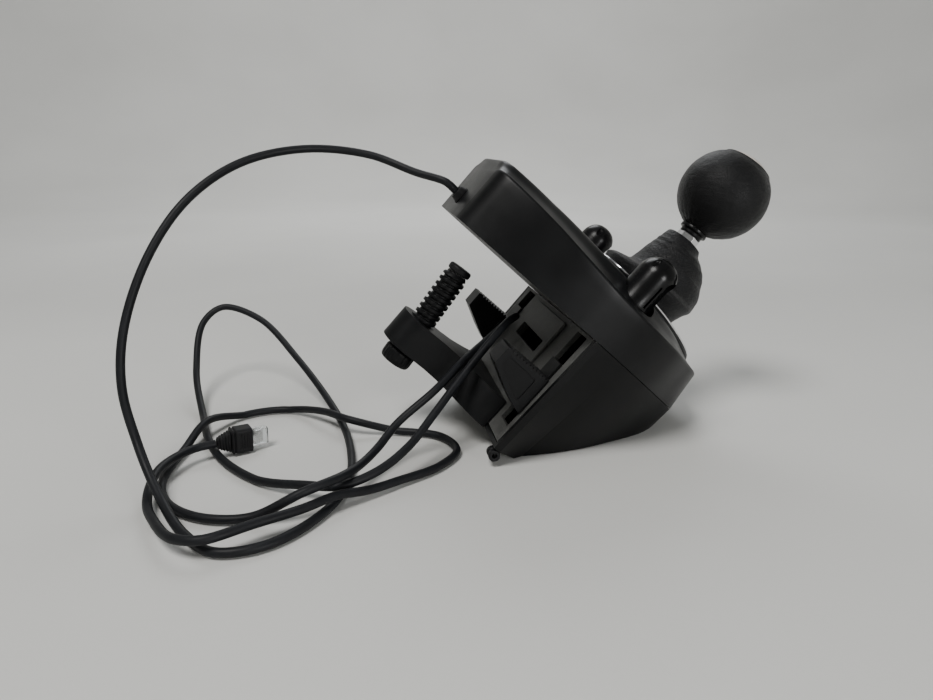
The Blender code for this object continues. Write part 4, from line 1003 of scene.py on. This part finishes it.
def cable_path():
    """Cable route: board, deck outlet, high arc, floor, standing loop, bight in the clamp, floor, plug."""
    inside = [tilted(0, -10.4, -30.6), tilted(0, -10.4, -9), tilted(0, -5, 4)]
    inside += [tilted(0, y, OUTLET_Z) for y in (10, 45, 70, 78, 84)] + [tilted(0.5, 89, OUTLET_Z)]
    low = FLOOR_Z + CABLE_R + 0.1
    arc = [(10, 74, 71.5), (20, 97, 80), (18, 128, 83), (6, 158, 77), (-10, 181, 61.5), (-24, 197.5, 38),
           (-38, 208, 8), (-47, 209.5, -16), (-58, 203, -38), (-76, 192, -53)]
    first_run = [(-98, 178, low), (-114, 163, low), (-112, 144, low), (-92, 124, low), (-66, 114, low),
                 (-34, 113, low), (8, 120, low + 2)]
    loop = [(56, 143.5, -40), (86, 169, -20.5), (95, 192, -14.5), (88, 203, -22), (62, 204.5, -45),
            (22, 194, low)]
    second_run = [(-10, 185, low), (-36, 173, low), (-58, 155, low), (-74, 132, low + 4),
                  (-79, 117, low + 5), (-74, 101, low + 8)]
    bight = [(-62, 86, -46.5), (-48, 72.5, -37), (-34, 57, -24), (-18, 36, -7), (-9, 28, -3), (-2, 23, -3),
             (3, 26, -7), (0, 34, -12.5), (-13, 47, -17.5), (-21, 54, -20), (-36, 71, -30),
             (-45, 90, -42), (-56, 100, -49)]
    third_run = [(-68, 108, low + 9), (-82, 116, low + 11), (-92, 132, low + 10), (-92, 152, low + 1),
                 (-89, 170, low), (-81, 183, low), (-69, 192, low), (-50, 197, low), (-20, 194, low + 1),
                 (2, 187, low + 6), (22, 172, low), (26, 148, low), (8, 128, low + 5), (-8, 114, low + 6),
                 (-14, 88, low), (-24, 67, low), (-42, 61, low), (-58, 72, low)]
    fourth_run = [(-71, 92, low + 1), (-79, 105, low + 2), (-87, 118, low + 5), (-97, 132, low + 5.5),
                  (-106, 149, low + 6), (-114.5, 166.5, low + 6), (-111, 176.5, low + 5),
                  (-105.5, 182, low + 4), (-92, 190, low + 3), (-80, 195.5, low + 2.5),
                  (-70, 197.5, low + 4.5), (-53, 197.5, low + 6), (-39, 193, low + 5.6),
                  (-31, 186.5, low + 5.4), (-27, 178, low + 5.4)]
    knots = inside + arc + first_run + loop + second_run + bight + third_run + fourth_run
    path = smooth_path(knots, 2.5)
    for p in path:
        p.z = max(p.z, low)
    return path


def build_cable():
    piece("cable", tube(cable_path(), CABLE_R, 14), FLOOR, "cable_rubber", "housing", 60.0)
    ring = fillet([(2.7, 74.0), (4.2, 74.0), (4.2, 79.6), (3.4, 82.5), (2.7, 82.5)], 0.5)
    ring = turned_to(lathe(ring, 48, closed=True), "Y")
    piece("cable_grommet", moved(ring, 0, 0, OUTLET_Z), SHIFTER, "plug_rubber", "housing")


def rounded_bar(x0, x1, half_y, half_z, round_by, taper=(0.0, 0.0), ribs=()):
    """Bar along X with a rounded section, slimmer at its start by taper; ribs lists (x, width, depth)."""
    rings = []
    for x in spread(x0, x1, 0.2):
        grow = -0.6 * (1.0 - min(1.0, min(x - x0, x1 - x) / 0.7)) ** 2
        for at, width, depth in ribs:
            grow -= depth * math.exp(-((x - at) / width) ** 2)
        slim = (x1 - x) / (x1 - x0)
        y, z = half_y - taper[0] * slim + grow, half_z - taper[1] * slim + grow
        rings.append([(x, a, b) for a, b in fillet([(y, z), (-y, z), (-y, -z), (y, -z)], round_by, steps=6)])
    return loft(rings)


def build_plug():
    way = Vector(PLUG_WAY).normalized()
    turn = way.to_track_quat("X", "Z").to_matrix().to_4x4()
    plug = Matrix.Translation(Vector(PLUG_START) * 0.001) @ turn @ Matrix.Scale(0.001, 4)
    ridges = [(1.6 + 1.3 * k, 0.26, 0.45) for k in range(4)]
    relief = rounded_bar(0.6, 6.8, 3.6, 5.4, 2.0, (1.0, 2.6), ridges)
    piece("plug_strain_relief", relief, plug, "plug_rubber", "housing", 60.0)
    body = rounded_bar(7.1, 17.3, 4.2, 6.3, 1.6, (0.0, 0.0), [(8.6, 0.35, 0.7)])
    ob = mesh_object("plug_overmould_skin", body, plug, 60.0)
    for k in range(4):
        for y in (-4.4, 4.4):
            cut(ob, box(11.2 + 1.3 * k, 11.8 + 1.3 * k, y - 0.5, y + 0.5, -3.6, 3.6), plug)
    finish_piece(ob, "plug_rubber", "housing")
    ob = mesh_object("plug_shell_skin", rounded_bar(17.6, 23.2, 1.0, 3.4, 0.5), plug, 60.0)
    cut(ob, box(18.6, 25.0, -0.7, 0.7, -3.1, 3.1), plug)
    for z in (-1.7, 1.7):
        cut(ob, box(20.2, 21.6, 0.5, 2.0, z - 0.45, z + 0.45), plug)
    finish_piece(ob, "plug_steel", "housing")
    ob = mesh_object("plug_clear_cap_skin", rounded_bar(18.0, 25.6, 2.2, 4.6, 0.9), plug, 60.0)
    cut(ob, box(15.0, 24.6, -1.3, 1.3, -3.7, 3.7), plug)
    finish_piece(ob, "clear_plastic", "housing")


# ---------------------------------------------------------------- CAD nodes that stay

def keep_cad_nodes():
    """Small parts whose solids are right: they get their real finish and softened edges."""
    slots = {s["node"]: s["material_slot"] for s in RECORD["subparts"]}
    for name, ob in frame["nodes"].items():
        if ob.hide_render:
            continue
        ob.data.materials.clear()
        ob.data.materials.append(MATERIALS[slots[name]])
        edged(ob, 0.2, 2, 40.0)


# ---------------------------------------------------------------- stage, light and camera

def build_stage():
    """Pale floor that rises far away on all sides, so that no horizon shows."""
    floor = FLOOR_Z * 0.001 - 0.0004
    profile = [(0.0002, 0.0), (0.4, 0.0), (0.9, 0.0), (1.3, 0.0)]
    profile += [(1.3 + 1.1 * math.sin(a), 1.1 - 1.1 * math.cos(a)) for a in
                [math.radians(90) * k / 16 for k in range(1, 17)]]
    profile.append((2.4, 2.6))
    bm = loft([circle(r, 96, z + floor, (0.02, 0.06)) for r, z in profile], caps=False)
    ob = mesh_object("floor", bm, Matrix.Identity(4), 80.0)
    mat, tree, shader, place = start("floor")
    soft = span(tree, spot_noise(tree, place, 3.0, 3.0), 0.3, 0.7, 0.0, 1.0)
    feed(tree, shader, Base_Color=mixed(tree, soft, (0.62, 0.62, 0.60), (0.67, 0.67, 0.65)))
    shader.inputs["Roughness"].default_value = 0.85
    feed(tree, shader, Normal=bumped(tree, spot_noise(tree, place, 500.0, 4.0), 0.15, 0.0004))
    ob.data.materials.append(mat)


def placed(name, data, place, turn):
    """New object for a light or camera, at a place and turn."""
    ob = bpy.data.objects.new(name, data)
    bpy.context.scene.collection.objects.link(ob)
    ob.location, ob.rotation_euler = place, turn
    return ob


def area_light(name, place, target, size, power, colour=(1.0, 1.0, 1.0)):
    data = bpy.data.lights.new(name, "AREA")
    data.shape, data.size, data.energy, data.color = "DISK", size, power, colour
    turn = (Vector(target) - Vector(place)).to_track_quat("-Z", "Y").to_euler()
    placed(name, data, place, turn)


def build_light():
    world = bpy.data.worlds.new("soft_sky")
    bpy.context.scene.world = world
    world.use_nodes = True
    world.node_tree.nodes["Background"].inputs["Color"].default_value = (0.95, 0.97, 1.0, 1.0)
    world.node_tree.nodes["Background"].inputs["Strength"].default_value = 0.20
    area_light("key", (-0.55, 0.55, 1.35), (0.0, 0.03, 0.0), 0.6, 17.0, (1.0, 0.985, 0.96))
    area_light("fill", (-1.15, -0.47, 0.21), (0.0, 0.0, 0.0), 0.35, 6.0)
    area_light("back", (1.1, -0.2, 1.1), (0.0, 0.0, 0.0), 0.8, 7.0, (0.96, 0.98, 1.0))
    area_light("wash", (0.9, 0.0, 1.2), (2.4, -0.2, 0.5), 0.9, 12.0)


CAMERA_PLACE = (-0.3455, 0.1039, 0.0869)
CAMERA_TURN = (72.82, 0.10, -98.98)


def build_camera():
    data = bpy.data.cameras.new("camera")
    data.lens = 26.16
    data.sensor_width = 36.0
    data.clip_start = 0.01
    turn = [math.radians(a) for a in CAMERA_TURN]
    bpy.context.scene.camera = placed("camera", data, CAMERA_PLACE, turn)


def main():
    for build in (build_deck, build_casing, build_wall, build_corner_feet, build_bezel, build_boot,
                  build_lever, build_push_spring, build_ball):
        build()
    for name, sx in SIDES:
        build_clamp_knob(name)
        build_jaw(name, sx)
    for build in (build_arm, build_thrust, build_cable, build_plug, keep_cad_nodes, build_stage,
                  build_light, build_camera):
        build()


main()
